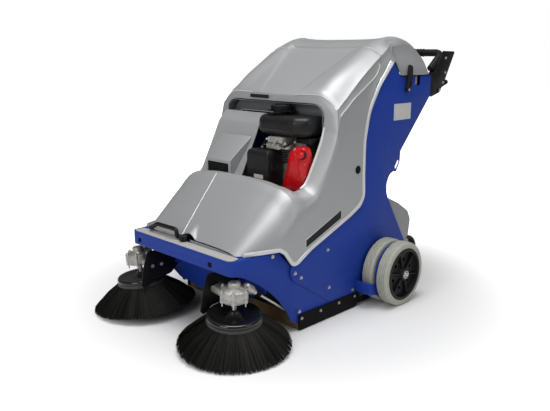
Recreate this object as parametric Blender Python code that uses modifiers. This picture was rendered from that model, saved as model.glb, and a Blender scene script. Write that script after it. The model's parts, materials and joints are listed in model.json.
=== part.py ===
"""Walk-behind petrol sweeping machine with two side brooms, in metres, +Z up, front towards -Y.

All pieces hang under one empty on the rear axle line, so lengths along Y are measured from
that axle. The floor is at Z = 0 and the machine is symmetric about X = 0 in its outline.
"""
import math

import bmesh
import bpy
from mathutils import Matrix, Vector

# Overall layout
AXLE_Y = 0.2152            # rear axle line in the part's own frame
CLEARANCE = 0.0003         # gap kept between neighbouring pieces
FLOOR_GAP = 0.0020         # gap of skirts and flaps to the floor
SHEET = 0.0030             # sheet steel of frame and panels

# Road wheels
WHEEL_RADIUS = 0.1250
TYRE_WIDTH = 0.0480
TYRE_DEPTH = 0.0220
OUTER_WHEEL_X = 0.4140
INNER_WHEEL_X = 0.3480
AXLE_RADIUS = 0.0100
AXLE_END_X = 0.4470
CASE_X = 0.3810
CASE_SHEET = 0.0040
CASE_RADIUS = 0.1130
BEARING_RADIUS = 0.0220
BEARING_DEPTH = 0.0120

# Side panels and frame
PANEL_OUT_X = 0.3163
PANEL_IN_X = PANEL_OUT_X - SHEET
ARM_OUT_X = PANEL_IN_X - CLEARANCE
ARM_IN_X = ARM_OUT_X - SHEET
INNER_HALF = ARM_IN_X - CLEARANCE
REAR_HALF = PANEL_IN_X - CLEARANCE
PANEL_TOP_Z = 0.8710
BUMPER_Y = -0.7490
BUMPER_TOP_Z = 0.3090
BUMPER_BOTTOM_Z = 0.2610
BUMPER_HALF = 0.2860
BUMPER_CORNER = 0.0400
FLANGE_DEPTH = 0.0900
FOLD_Y = -0.4830
BEND_Y = -0.7000
ARM_REAR_Y = -0.1200
PAD_THICKNESS = 0.0025
PAD_REAR_Y = -0.7195
GRAB_Y = -0.7125
GRAB_RADIUS = 0.0055
KNOB_X = -0.0180
KNOB_Y = -0.7080
KNOB_RADIUS = 0.0170
SKIRT_THICKNESS = 0.0070
SKIRT_TOP_Z = 0.0580
SKIRT_FRONT_Y = -0.4700
SKIRT_REAR_Y = -0.1550

# Chassis inside
FLOOR_Z = 0.2620
FLOOR_FRONT_Y = -0.6100
FLOOR_REAR_Y = -0.0600
APRON_LOW_Z = 0.1050
HOUSING_FRONT_Y = -0.4600
HOUSING_REAR_Y = -0.1120
HOUSING_LOW_Z = 0.0450
FLAP_THICKNESS = 0.0040
CROSS_Y = -0.5450
CROSS_LOW_Z = 0.1350
CROSS_HIGH_Z = 0.1650
CROSS_DEPTH = 0.0300
DECK_Z = 0.3800
DECK_HALF = 0.2600
DECK_FRONT_Y = -0.4100
DECK_REAR_Y = -0.1000

# Main brush
BRUSH_Y = -0.2860
BRUSH_RADIUS = 0.1050
BRUSH_CORE = 0.0500
BRUSH_END_GAP = 0.0197
BRUSH_HALF = INNER_HALF - BRUSH_END_GAP
BRUSH_LOBES = 9
BRUSH_TWIST = math.radians(24)

# Side brooms
BROOM_X = 0.2580
BROOM_Y = -0.7200
BROOM_TIP_RADIUS = 0.1980
BROOM_RING_RADIUS = 0.0915
BROOM_RING_Z = 0.0800
BROOM_RING_DEPTH = 0.0160
BROOM_LEAN_OUT = 0.0872
BROOM_LEAN_FRONT = 0.0597
BROOM_FLOOR_GAP = 0.0005
TUFTS_AROUND = 76
HUB_THICKNESS = 0.0100
GEARBOX_RADIUS = 0.0470
GEARBOX_LOW = 0.1440
GEARBOX_HIGH = 0.1900
LOBE_RADIUS = 0.0160
STUB_RADIUS = 0.0080
BRACKET_X = 0.1700
BRACKET_SHEET = 0.0040
ARM_PIVOT_Y = -0.6290
ARM_PIVOT_Z = 0.1880
ROD_RADIUS = 0.0065
PIVOT_RADIUS = 0.0060

# Front castor
CASTOR_WHEEL_RADIUS = 0.0350
CASTOR_TRAIL = 0.0200
CASTOR_WIDTH = 0.0240

# Hood
HOOD_SHEET = 0.0035
HOOD_SIDE_X = 0.3205
HOOD_TOP_X = 0.2740
HOOD_SEAM_Z = BUMPER_TOP_Z + 0.0030
WINDOW_HALF = 0.2440
WINDOW_TOP_Z = 0.7820
WINDOW_FRONT_Y = -0.4445
WINDOW_CORNER = 0.0450
HINGE_Y = 0.3030
HINGE_Z = PANEL_TOP_Z + 0.0030
RECESS_RIGHT_X = -0.0220

# Engine
ENGINE_LEFT_X = 0.0100
ENGINE_RIGHT_X = 0.2500
ENGINE_FRONT_Y = -0.3300
ENGINE_REAR_Y = -0.1500
CRANKCASE_TOP_Z = 0.5600
HEAD_TOP_Z = 0.6400
COVER_DEPTH = 0.0650
FILTER_DEPTH = 0.0820
TANK_Z = 0.6620
TANK_HEIGHT = 0.0740

# Handle
HANDLE_Y = 0.4150
HANDLE_Z = PANEL_TOP_Z + 0.0850
HANDLE_RADIUS = 0.0150
LEVER_PIVOT_Y = 0.3760
LEVER_PIVOT_Z = PANEL_TOP_Z - 0.0650
LEVER_RADIUS = 0.0065
SIDE_LEVER_Y = 0.1300
SIDE_LEVER_Z = PANEL_TOP_Z - 0.0510

# Hopper
HOPPER_HALF = 0.2500
HOPPER_WALL = 0.0030
HOPPER_TOP_Z = 0.3780
HOPPER_LOW_Z = 0.0420
HOPPER_FRONT_Y = -0.0950
RAIL_Z = 0.2030
HOPPER_WHEEL_Y = 0.3120
HOPPER_WHEEL_Z = 0.1080
HOPPER_WHEEL_RADIUS = 0.0680


for old in list(bpy.data.objects):
    bpy.data.objects.remove(old)

machine = bpy.data.collections.new("sweeping_machine")
cutters = bpy.data.collections.new("cutters")
bpy.context.scene.collection.children.link(machine)
bpy.context.scene.collection.children.link(cutters)


def finish(name, colour, roughness, metallic):
    """A plain surface with one colour, roughness and metallic value."""
    mat = bpy.data.materials.new(name)
    mat.use_nodes = True
    shader = mat.node_tree.nodes["Principled BSDF"]
    shader.inputs["Base Color"].default_value = (*colour, 1.0)
    shader.inputs["Roughness"].default_value = roughness
    shader.inputs["Metallic"].default_value = metallic
    mat.diffuse_color = (*colour, 1.0)
    return mat


BLUE = finish("blue_powder_coat", (0.014, 0.042, 0.300), 0.40, 0.1)
SILVER = finish("silver_moulding", (0.370, 0.385, 0.395), 0.38, 0.3)
BLACK_STEEL = finish("black_steel", (0.012, 0.012, 0.013), 0.40, 0.4)
BLACK_PLASTIC = finish("black_plastic", (0.016, 0.016, 0.017), 0.50, 0.0)
TYRE_GREY = finish("tyre_grey", (0.300, 0.310, 0.270), 0.75, 0.0)
RUBBER = finish("black_rubber", (0.014, 0.014, 0.014), 0.80, 0.0)
BROWN_RUBBER = finish("brown_rubber", (0.180, 0.110, 0.050), 0.75, 0.0)
ALLOY = finish("cast_alloy", (0.520, 0.510, 0.480), 0.45, 0.8)
RED = finish("red_enamel", (0.520, 0.006, 0.010), 0.22, 0.1)
NYLON = finish("nylon_bristle", (0.020, 0.020, 0.021), 0.55, 0.0)
ZINC = finish("zinc_steel", (0.600, 0.590, 0.560), 0.35, 0.9)
GREY_PLASTIC = finish("grey_plastic", (0.280, 0.290, 0.300), 0.50, 0.0)
PAD_GREY = finish("grip_pad", (0.360, 0.360, 0.350), 0.85, 0.0)


def empty(name, location, rotation=(0.0, 0.0, 0.0), parent=None):
    """A reference frame that carries pieces and marks a joint's axis."""
    frame = bpy.data.objects.new(name, None)
    frame.location = location
    frame.rotation_euler = rotation
    frame.parent = parent
    machine.objects.link(frame)
    return frame


ROOT = empty("rear_axle_line", (0.0, AXLE_Y, 0.0))
HOOD_HINGE = empty("hood_hinge", (0.0, HINGE_Y, HINGE_Z), parent=ROOT)
HOOD_FRAME = empty("hood_frame", (0.0, -HINGE_Y, -HINGE_Z), parent=HOOD_HINGE)


def place(name, data, mat, parent=ROOT, location=(0.0, 0.0, 0.0), rotation=(0.0, 0.0, 0.0)):
    """Puts mesh or curve data into the machine under its parent frame."""
    piece = bpy.data.objects.new(name, data)
    machine.objects.link(piece)
    piece.parent = parent
    piece.location = location
    piece.rotation_euler = rotation
    if mat is not None and not data.materials:
        data.materials.append(mat)
    return piece


def as_cutter(piece):
    """Moves a piece to the cutters, so it only shapes others."""
    machine.objects.unlink(piece)
    cutters.objects.link(piece)
    piece.hide_render = True
    piece.display_type = "WIRE"
    return piece


def combine(piece, other, operation="DIFFERENCE"):
    """Cuts the other shape out of a piece, or joins or keeps it."""
    if other.name in machine.objects:
        as_cutter(other)
    step = piece.modifiers.new(operation.lower(), "BOOLEAN")
    step.operation = operation
    step.solver = "EXACT"
    step.object = other
    return piece


def smooth(piece, angle=35.0):
    """Round surfaces shade smooth, edges over the angle stay sharp."""
    piece.data.shade_smooth()
    piece.data.set_sharp_from_angle(angle=math.radians(angle))
    return piece


def bevelled(piece, width, segments=1, angle=40.0):
    """Rounds every edge sharper than the angle."""
    step = piece.modifiers.new("rounded_edges", "BEVEL")
    step.width = width
    step.segments = segments
    step.limit_method = "ANGLE"
    step.angle_limit = math.radians(angle)
    return piece


def rounded(points, radius, segments=4, closed=True):
    """A path whose corners are arcs of the given radius, one value or one per corner."""
    points = [Vector(p) for p in points]
    count = len(points)
    radii = radius if isinstance(radius, (list, tuple)) else [radius] * count
    path = []
    for i, corner in enumerate(points):
        is_end = not closed and i in (0, count - 1)
        if is_end or radii[i] <= 0.0:
            path.append(corner)
            continue
        before = points[i - 1] - corner
        after = points[(i + 1) % count] - corner
        angle = before.angle(after)
        if angle > math.radians(178):
            path.append(corner)
            continue
        reach = min(radii[i] / math.tan(angle / 2), 0.49 * before.length, 0.49 * after.length)
        arc_radius = reach * math.tan(angle / 2)
        middle = corner + (before.normalized() + after.normalized()).normalized() * (
            arc_radius / math.sin(angle / 2))
        start = corner + before.normalized() * reach - middle
        end = corner + after.normalized() * reach - middle
        sweep = start.angle(end)
        for k in range(segments + 1):
            t = k / segments
            a = math.sin((1 - t) * sweep) / math.sin(sweep)
            b = math.sin(t * sweep) / math.sin(sweep)
            path.append(middle + start * a + end * b)
    return path


def circle(centre, radius, count=24):
    """Points round a circle in an outline's own plane."""
    turn = 2 * math.pi / count
    return [(centre[0] + radius * math.cos(i * turn), centre[1] + radius * math.sin(i * turn))
            for i in range(count)]


def face_outward(build):
    """Turns all faces of a closed shape to point out."""
    bmesh.ops.recalc_face_normals(build, faces=build.faces)
    if build.calc_volume(signed=True) < 0.0:
        bmesh.ops.reverse_faces(build, faces=build.faces)


PLANES = {
    "xy": Matrix.Identity(3),
    "xz": Matrix(((1, 0, 0), (0, 0, -1), (0, 1, 0))),
    "yz": Matrix(((0, 0, 1), (1, 0, 0), (0, 1, 0))),
}


def plate_mesh(name, outline, start, end, plane="yz", holes=()):
    """Mesh of a flat outline, filled and as thick as start to end along the plane's normal."""
    curve = bpy.data.curves.new(name, "CURVE")
    curve.dimensions = "2D"
    curve.fill_mode = "BOTH"
    curve.extrude = abs(end - start) / 2
    for loop in (outline, *holes):
        spline = curve.splines.new("POLY")
        spline.points.add(len(loop) - 1)
        for point, co in zip(spline.points, loop):
            point.co = (co[0], co[1], 0.0, 1.0)
        spline.use_cyclic_u = True
    carrier = bpy.data.objects.new(name, curve)
    machine.objects.link(carrier)
    graph = bpy.context.evaluated_depsgraph_get()
    mesh = bpy.data.meshes.new_from_object(carrier.evaluated_get(graph))
    bpy.data.objects.remove(carrier)
    bpy.data.curves.remove(curve)
    middle = (start + end) / 2 if plane != "xz" else -(start + end) / 2
    build = bmesh.new()
    build.from_mesh(mesh)
    bmesh.ops.remove_doubles(build, verts=build.verts, dist=0.00001)
    for vert in build.verts:
        vert.co = PLANES[plane] @ Vector((vert.co.x, vert.co.y, vert.co.z + middle))
    face_outward(build)
    build.to_mesh(mesh)
    build.free()
    mesh.name = name
    return mesh


def plate(name, mat, outline, start, end, plane="yz", holes=(), parent=ROOT):
    """A flat or extruded piece in the machine."""
    return place(name, plate_mesh(name, outline, start, end, plane, holes), mat, parent)


def block(name, mat, low, high, parent=ROOT):
    """A box between two corners."""
    build = bmesh.new()
    bmesh.ops.create_cube(build, size=1.0)
    low, high = Vector(low), Vector(high)
    for vert in build.verts:
        vert.co = (low + high) / 2 + Vector(
            vert.co[i] * abs(high[i] - low[i]) for i in range(3))
    mesh = bpy.data.meshes.new(name)
    build.to_mesh(mesh)
    build.free()
    return place(name, mesh, mat, parent)


AXIS_TURN = {"+x": (0.0, math.pi / 2, 0.0), "-x": (0.0, -math.pi / 2, 0.0), "z": (0.0, 0.0, 0.0)}


def turned(name, mat, profile, axis="z", location=(0.0, 0.0, 0.0), steps=32, parent=ROOT,
           closed=False, rotation=None):
    """A turned piece: its profile of (radius, height) pairs runs down the outer side."""
    mesh = bpy.data.meshes.new(name)
    edges = [(i, i + 1) for i in range(len(profile) - 1)]
    if closed:
        edges.append((len(profile) - 1, 0))
    mesh.from_pydata([(r, 0.0, z) for r, z in profile], edges, [])
    piece = place(name, mesh, mat, parent, location, rotation or AXIS_TURN[axis])
    step = piece.modifiers.new("turned", "SCREW")
    step.steps = steps
    step.render_steps = steps
    step.use_merge_vertices = True
    step.merge_threshold = 0.00001
    step.use_smooth_shade = True
    return piece


def tube(name, mat, points, radius, sides=2, parent=ROOT):
    """A round bar or pipe along a path."""
    curve = bpy.data.curves.new(name, "CURVE")
    curve.dimensions = "3D"
    curve.bevel_depth = radius
    curve.bevel_resolution = sides
    curve.use_fill_caps = True
    spline = curve.splines.new("POLY")
    spline.points.add(len(points) - 1)
    for point, co in zip(spline.points, points):
        point.co = (*co, 1.0)
    return place(name, curve, mat, parent)


def to_mesh(piece):
    """Makes a curve piece a mesh with welded caps, so that it can be cut or joined."""
    graph = bpy.context.evaluated_depsgraph_get()
    graph.update()
    mesh = bpy.data.meshes.new_from_object(piece.evaluated_get(graph))
    build = bmesh.new()
    build.from_mesh(mesh)
    bmesh.ops.remove_doubles(build, verts=build.verts, dist=0.00001)
    face_outward(build)
    build.to_mesh(mesh)
    build.free()
    name, parent = piece.name, piece.parent
    location, rotation = piece.location.copy(), piece.rotation_euler.copy()
    bpy.data.objects.remove(piece)
    return place(name, mesh, None, parent, location, rotation)


def between(table, y):
    """Reads a value off a list of (y, value) pairs, straight from pair to pair."""
    if y <= table[0][0]:
        return table[0][1]
    for (y0, v0), (y1, v1) in zip(table, table[1:]):
        if y <= y1:
            return v0 + (v1 - v0) * (y - y0) / (y1 - y0)
    return table[-1][1]


def loft(name, rows):
    """Mesh of quads between rows of points that all have the same count."""
    width = len(rows[0])
    verts = [p for row in rows for p in row]
    faces = []
    for i in range(len(rows) - 1):
        for j in range(width - 1):
            a = i * width + j
            faces.append((a, a + 1, a + width + 1, a + width))
    mesh = bpy.data.meshes.new(name)
    mesh.from_pydata(verts, [], faces)
    return mesh


# Hood moulding: an open lofted skin with a wall, trimmed at its lip and opened over the engine.
# Each station gives the height of the outer hump line and how far the sides fall back.
HOOD_RISE = [(-0.700, 0.3165), (-0.600, 0.4007), (-0.530, 0.4597), (-0.475, 0.5060),
             (-0.450, 0.5120), (-0.415, 0.5190), (-0.385, 0.5650), (-0.345, 0.6350),
             (-0.315, 0.7000), (-0.300, 0.7840), (-0.291, 0.8120), (-0.255, 0.8360),
             (-0.150, 0.8970), (-0.050, 0.9520),
             (0.020, 0.9880), (0.080, 1.0110), (0.135, 1.0190), (0.180, 1.0110),
             (0.225, 0.9850), (0.262, 0.9480), (0.288, 0.9100), (0.303, 0.8780)]
HOOD_CROWN = [(-0.700, 0.004), (-0.475, 0.012), (-0.415, 0.010), (-0.300, 0.000),
              (-0.200, -0.006), (0.080, -0.012), (0.225, -0.004), (0.303, 0.000)]
HOOD_CORNER = [(-0.700, 0.024), (-0.475, 0.032), (-0.300, 0.048), (-0.100, 0.050), (0.303, 0.044)]
HOOD_SHOULDER = [(-0.700, 0.2700), (-0.475, 0.3800), (-0.300, 0.6600), (-0.267, 0.7600),
                 (-0.096, 0.8650), (-0.030, 0.9050), (0.090, 0.9350), (0.180, 0.9250),
                 (0.262, 0.8850), (0.303, 0.8300)]
HOOD_LOW_X = [(-0.700, 0.2700), (-0.600, 0.3020), (-0.530, HOOD_SIDE_X)]
HOOD_FALLBACK = [(-0.475, 0.000), (-0.400, 0.020), (-0.280, 0.022), (-0.150, 0.000)]
HOOD_FOOT_Z = 0.2000


def hood_section(y):
    """Half section of the hood from the centre line out and down to its foot."""
    top = between(HOOD_RISE, y)
    crown = between(HOOD_CROWN, y)
    corner = min(between(HOOD_CORNER, y), top - HOOD_FOOT_Z)
    side = between(HOOD_LOW_X, y)
    upper = min(HOOD_TOP_X, side)
    shoulder = min(between(HOOD_SHOULDER, y), top - corner - 0.004)
    half = [(0.0, top + crown), (0.4 * upper, top + 0.95 * crown), (0.68 * upper, top + 0.4 * crown),
            (upper - corner, top)]
    for k in range(1, 4):
        turn = math.radians(90 * k / 3)
        half.append((upper - corner + corner * math.sin(turn), top - corner + corner * math.cos(turn)))
    half.append((0.4 * upper + 0.6 * side, shoulder + 0.3 * (top - corner - shoulder)))
    half.append((side, shoulder))
    half.append((side, HOOD_FOOT_Z))
    return half


def hood_skin():
    """Rows of the hood, station by station from its front edge to the rear edge."""
    rows = []
    for y, _ in HOOD_RISE:
        half = hood_section(y)
        back = between(HOOD_FALLBACK, y)
        right = [(-x, y + back * (x / HOOD_TOP_X) ** 2, z) for x, z in reversed(half[1:])]
        left = [(x, y + back * (x / HOOD_TOP_X) ** 2, z) for x, z in half]
        rows.append(right + left)
    return rows


# The lip that the hood shows on the side panels, front to rear.
LIP = [(-0.545, 0.3000), (-0.508, 0.2500), (-0.480, 0.2500), (-0.411, 0.2880), (-0.199, 0.3690),
       (-0.139, 0.3980), (-0.114, 0.4330), (-0.119, 0.5180), (-0.119, 0.6410), (-0.097, 0.7470),
       (-0.040, 0.8380), (0.036, 0.9180)]
GASKET_Z = PANEL_TOP_Z + 0.0020


def hood():
    """Silver moulded engine hood with its window and trimmed lip."""
    shell = place("hood_shell", loft("hood_shell", hood_skin()), SILVER, HOOD_FRAME)
    wall = shell.modifiers.new("wall", "SOLIDIFY")
    wall.thickness = HOOD_SHEET
    wall.offset = -1.0
    wall.use_even_offset = True
    trim = [(-0.800, HOOD_SEAM_Z), (-0.562, HOOD_SEAM_Z)] + LIP
    trim += [(0.050, 0.9260), (0.094, GASKET_Z), (0.400, GASKET_Z), (0.400, 0.0), (-0.800, 0.0)]
    combine(shell, plate("hood_trim", None, trim, -0.5, 0.5))
    window = rounded([(-WINDOW_HALF, 0.45), (WINDOW_HALF, 0.45), (WINDOW_HALF, WINDOW_TOP_Z),
                      (-WINDOW_HALF, WINDOW_TOP_Z)], [0, 0, WINDOW_CORNER, WINDOW_CORNER], 5)
    combine(shell, plate("hood_window", None, window, WINDOW_FRONT_Y, -0.235, "xz"))
    notch = circle((KNOB_X, KNOB_Y), KNOB_RADIUS + 0.009, 16)
    combine(shell, plate("knob_notch", None, notch, 0.28, 0.42, "xy"))
    smooth(shell, 32)
    return shell


# Silver liner behind the ridge: rises under the brow, with the raised air duct on it.
RECESS = [(-0.4400, 0.4960), (-0.4220, 0.5200), (-0.3720, 0.6150), (-0.3300, 0.7000), (-0.2900, 0.7350)]
DUCT_LEFT_X = -0.2100
DUCT_RIGHT_X = -0.0680
DUCT_FRONT_Y = -0.4430
DUCT_TOP_Z = 0.5580
GRILLE_BARS = 5


def ribbon(points, thickness):
    """Closed outline of a sheet that follows the points and is as thick as given."""
    path = [Vector(p) for p in points]
    other = []
    for i, p in enumerate(path):
        before = path[max(i - 1, 0)]
        after = path[min(i + 1, len(path) - 1)]
        along = (after - before).normalized()
        other.append(p + Vector((-along.y, along.x)) * thickness)
    return path + other[::-1]


def recess_parts():
    """Liner with the brow's collar and the raised duct, and the black grille in its mouth."""
    sheet = HOOD_SHEET
    left = -WINDOW_HALF + CLEARANCE
    liner = plate("recess_panel", SILVER, ribbon(RECESS, -sheet), left, RECESS_RIGHT_X,
                  parent=HOOD_FRAME)
    edge = WINDOW_HALF - CLEARANCE
    top = WINDOW_TOP_Z - CLEARANCE
    low = 0.685
    outer = rounded([(-edge, low), (-edge, top), (edge, top), (edge, low)],
                    [0, WINDOW_CORNER, WINDOW_CORNER, 0], 5)
    inner = rounded([(-edge + sheet, low), (-edge + sheet, top - sheet), (edge - sheet, top - sheet),
                     (edge - sheet, low)], [0, WINDOW_CORNER - sheet, WINDOW_CORNER - sheet, 0], 5)
    collar = plate("brow_collar", None, outer + inner[::-1], -0.292, -0.225, "xz")
    combine(liner, collar, "UNION")
    duct = [(DUCT_FRONT_Y, 0.4990), (DUCT_FRONT_Y, DUCT_TOP_Z), (-0.4380, DUCT_TOP_Z + 0.004),
            (-0.3600, 0.6500), (-0.3650, 0.6200), (-0.4200, 0.5050)]
    combine(liner, plate("duct_block", None, duct, DUCT_LEFT_X, DUCT_RIGHT_X), "UNION")
    mouth_low = (DUCT_LEFT_X + 0.010, DUCT_FRONT_Y - 0.020, 0.5080)
    mouth_high = (DUCT_RIGHT_X - 0.010, DUCT_FRONT_Y + 0.014, DUCT_TOP_Z - 0.010)
    combine(liner, block("duct_mouth", None, mouth_low, mouth_high))
    gap = CLEARANCE
    frame = block("vent_grille", BLACK_PLASTIC,
                  (mouth_low[0] + gap, DUCT_FRONT_Y + 0.001, mouth_low[2] + gap),
                  (mouth_high[0] - gap, mouth_high[1] - gap, mouth_high[2] - gap), HOOD_FRAME)
    pitch = (mouth_high[2] - mouth_low[2]) / GRILLE_BARS
    for i in range(GRILLE_BARS):
        z = mouth_low[2] + (i + 0.3) * pitch
        slot = block(f"grille_slot_{i}", None, (mouth_low[0] + 0.004, DUCT_FRONT_Y - 0.01, z),
                     (mouth_high[0] - 0.004, DUCT_FRONT_Y + 0.010, z + 0.5 * pitch))
        combine(frame, slot)
    smooth(liner, 30)


# Blue side panel: follows the lip a little under the hood, then the waist and the wheel side.
LIP_OVERLAP = 0.0120
PANEL_FRONT = [(y - LIP_OVERLAP, z + 0.010) for y, z in LIP[3:11]]
PANEL_OUTLINE = (
    [(-0.300, 0.0620), (-0.500, 0.1950), (-0.516, 0.2280), (-0.500, 0.2620), (-0.470, 0.2720)]
    + PANEL_FRONT
    + [(0.030, 0.9130), (0.049, 0.9210), (0.094, PANEL_TOP_Z), (0.308, PANEL_TOP_Z),
       (0.308, PANEL_TOP_Z - 0.0860), (0.300, PANEL_TOP_Z - 0.0920), (0.114, 0.5800),
       (0.112, 0.5380), (0.089, 0.5000),
       (0.070, 0.5040), (0.045, 0.4940), (0.029, 0.4600), (0.031, 0.4250), (0.039, 0.4060),
       (0.180, 0.1850), (0.180, 0.0620)])
PANEL_RADII = ([0.0, 0.030, 0.030, 0.030, 0.0] + [0.02] * len(PANEL_FRONT)
               + [0.0, 0.0, 0.0, 0.004, 0.010, 0.010, 0.004, 0.012, 0.006, 0.006, 0.030, 0.030,
                  0.020, 0.020, 0.020, 0.010])
SLOT_AT = (0.0930, 0.5290)
SLOT_LENGTH = 0.0360
SLOT_WIDTH = 0.0120
SLOT_TILT = math.radians(56)
NOTCH_LOW_Z = PANEL_TOP_Z - 0.0390
NOTCH = [(0.196, PANEL_TOP_Z + 0.01), (0.196, NOTCH_LOW_Z), (0.230, NOTCH_LOW_Z),
         (0.230, PANEL_TOP_Z + 0.01)]


def slot_outline(centre, length, width, tilt, count=6):
    """Long hole with round ends."""
    ends = []
    reach = (length - width) / 2
    for k in range(2 * count + 2):
        half = k > count
        turn = tilt - math.pi / 2 + math.pi * (k - half) / count
        shift = -reach if half else reach
        ends.append((centre[0] + shift * math.cos(tilt) + width / 2 * math.cos(turn),
                     centre[1] + shift * math.sin(tilt) + width / 2 * math.sin(turn)))
    return ends


def side_parts(side, word):
    """Blue panel, rubber skirt, bearing and wheel case of one side."""
    holes = [circle((0.0, WHEEL_RADIUS), BEARING_RADIUS - 0.006, 14),
             slot_outline(SLOT_AT, SLOT_LENGTH, SLOT_WIDTH, SLOT_TILT)]
    outline = rounded(PANEL_OUTLINE, PANEL_RADII, 2)
    panel = plate("side_panel_" + word, BLUE, outline, side * PANEL_IN_X, side * PANEL_OUT_X,
                  "yz", holes)
    combine(panel, plate("lever_notch_" + word, None, NOTCH, side * 0.30, side * 0.33))
    skirt = [(SKIRT_FRONT_Y, FLOOR_GAP + 0.006), (SKIRT_FRONT_Y + 0.008, FLOOR_GAP),
             (SKIRT_REAR_Y - 0.010, FLOOR_GAP), (SKIRT_REAR_Y, FLOOR_GAP + 0.010),
             (SKIRT_REAR_Y + 0.022, SKIRT_TOP_Z), (SKIRT_FRONT_Y, SKIRT_TOP_Z)]
    start = ARM_OUT_X + CLEARANCE
    plate("side_skirt_" + word, RUBBER, skirt, side * start, side * (start + SKIRT_THICKNESS))
    r = BEARING_RADIUS
    bore = AXLE_RADIUS + CLEARANCE
    # flange against the inner face of the panel, spigot through its hole
    flange_top = PANEL_IN_X - CLEARANCE
    spigot = r - 0.007
    turned("axle_bearing_" + word, ZINC,
           [(spigot, PANEL_OUT_X + 0.002), (spigot, flange_top), (r + 0.014, flange_top),
            (r + 0.014, flange_top - 0.004), (r, flange_top - 0.004), (r, flange_top - BEARING_DEPTH),
            (bore, flange_top - BEARING_DEPTH), (bore, PANEL_OUT_X + 0.002)],
           "+x" if side > 0 else "-x", (0.0, 0.0, WHEEL_RADIUS), 14, closed=True)
    case(side, word)


def case(side, word):
    """Pressed plate between the twin wheels, boxed to the side panel at its front foot."""
    inner = CASE_X - CASE_SHEET / 2
    outer = CASE_X + CASE_SHEET / 2
    hole = circle((0.0, WHEEL_RADIUS), AXLE_RADIUS + 0.003, 16)
    arc = [(CASE_RADIUS * math.cos(a), WHEEL_RADIUS + CASE_RADIUS * math.sin(a))
           for a in [math.radians(-35 + 225 * k / 15) for k in range(16)]]
    foot = [(-0.120, 0.095), (-0.186, 0.115), (-0.186, 0.052), (-0.120, 0.036)]
    low = [(0.0, 0.0300)]
    shape = plate("wheel_case_" + word, BLUE, arc + foot + low, side * inner, side * outer, "yz",
                  [hole])
    box_start = PANEL_OUT_X + CLEARANCE
    box = plate("case_foot_" + word, None,
                [(-0.1320, 0.1000), (-0.186, 0.115), (-0.186, 0.064), (-0.1320, 0.064)],
                side * box_start, side * (inner + 0.001))
    combine(shape, box, "UNION")


def tyre(name, x, side, parent, ribbed):
    """Solid rubber tyre, with two grooves round its tread where it shows."""
    half = TYRE_WIDTH / 2
    outer, inner = WHEEL_RADIUS, WHEEL_RADIUS - TYRE_DEPTH
    edge = 0.006
    profile = [(outer - edge, half), (outer, half - edge)]
    if ribbed:
        for centre in (half / 3, -half / 3):
            profile += [(outer, centre + 0.003), (outer - 0.003, centre), (outer, centre - 0.003)]
    profile += [(outer, -half + edge), (outer - edge, -half), (inner, -half), (inner, half)]
    return turned(name, TYRE_GREY, profile, "+x" if side > 0 else "-x", (side * x, 0.0, 0.0),
                  OUTER_STEPS if ribbed else INNER_STEPS, parent, closed=True)


HUB_RIBS = 6
OUTER_STEPS = 24
INNER_STEPS = 20


def wheels(side, word):
    """Twin wheels of one side on their own stub axle, all turning together."""
    turn = empty("wheel_turn_" + word, (0.0, 0.0, WHEEL_RADIUS), parent=ROOT)
    tyre("tyre_outer_" + word, OUTER_WHEEL_X, side, turn, True)
    tyre("tyre_inner_" + word, INNER_WHEEL_X, side, turn, False)
    seat = WHEEL_RADIUS - TYRE_DEPTH - CLEARANCE
    half = TYRE_WIDTH / 2
    bore = AXLE_RADIUS + CLEARANCE
    face = half + 0.004
    # dished hub of the outer wheel: rim, web and raised boss
    rim = seat - 0.009
    hub = turned("wheel_hub_" + word, BLACK_PLASTIC,
                 [(rim, face - 0.002), (seat - 0.002, face - 0.002), (seat, face - 0.004), (seat, -half),
                  (rim, -half), (rim, -0.006), (0.024, -0.006), (0.024, -half), (bore, -half),
                  (bore, face + 0.002), (0.024, face), (0.024, 0.004), (rim, 0.004)],
                 "+x" if side > 0 else "-x", (side * OUTER_WHEEL_X, 0.0, 0.0), OUTER_STEPS, turn,
                 closed=True)
    for i in range(HUB_RIBS):
        angle = 2 * math.pi * i / HUB_RIBS
        rib = block(f"hub_rib_{word}_{i}", None, (0.020, -0.004, 0.000), (rim + 0.004, 0.004, face - 0.006))
        rib.parent = hub
        rib.rotation_euler = (0.0, 0.0, angle)
        combine(hub, rib, "UNION")
    # stub axle turned with the inner wheel's disc, its outer end under a cap nut
    inner_x = INNER_WHEEL_X
    nut = 0.015
    shaft_in = PANEL_IN_X - BEARING_DEPTH - 0.006
    nut_seat = OUTER_WHEEL_X + face + 0.002 + CLEARANCE
    turned("wheel_axle_" + word, ZINC,
           [(0.0, AXLE_END_X + 0.004), (nut * 0.5, AXLE_END_X + 0.003), (nut * 0.8, AXLE_END_X),
            (nut, nut_seat + 0.001), (nut, nut_seat), (AXLE_RADIUS, nut_seat),
            (AXLE_RADIUS, inner_x + 0.006), (seat, inner_x + half), (seat, inner_x - half),
            (AXLE_RADIUS, inner_x - 0.006), (AXLE_RADIUS, shaft_in), (0.0, shaft_in)],
           "+x" if side > 0 else "-x", (0.0, 0.0, 0.0), INNER_STEPS, turn)


# Front frame: one bent sheet in plan, cut to its arched side outline.
ARM_TOP = [(-0.560, BUMPER_TOP_Z), (-0.520, 0.2620), (-0.500, 0.2450), (-0.400, 0.2000),
           (ARM_REAR_Y, 0.2000)]
ARCH = [(ARM_REAR_Y, 0.0300), (-0.4740, 0.0300), (-0.4810, 0.0400), (-0.4920, 0.0360), (-0.5020, 0.0440),
        (-0.5120, 0.0680), (-0.5300, 0.0980), (-0.5560, 0.1330), (-0.5880, 0.1680), (-0.6300, 0.2030),
        (-0.6650, 0.2270), (-0.7000, 0.2480), (-0.7300, 0.2590)]


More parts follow.
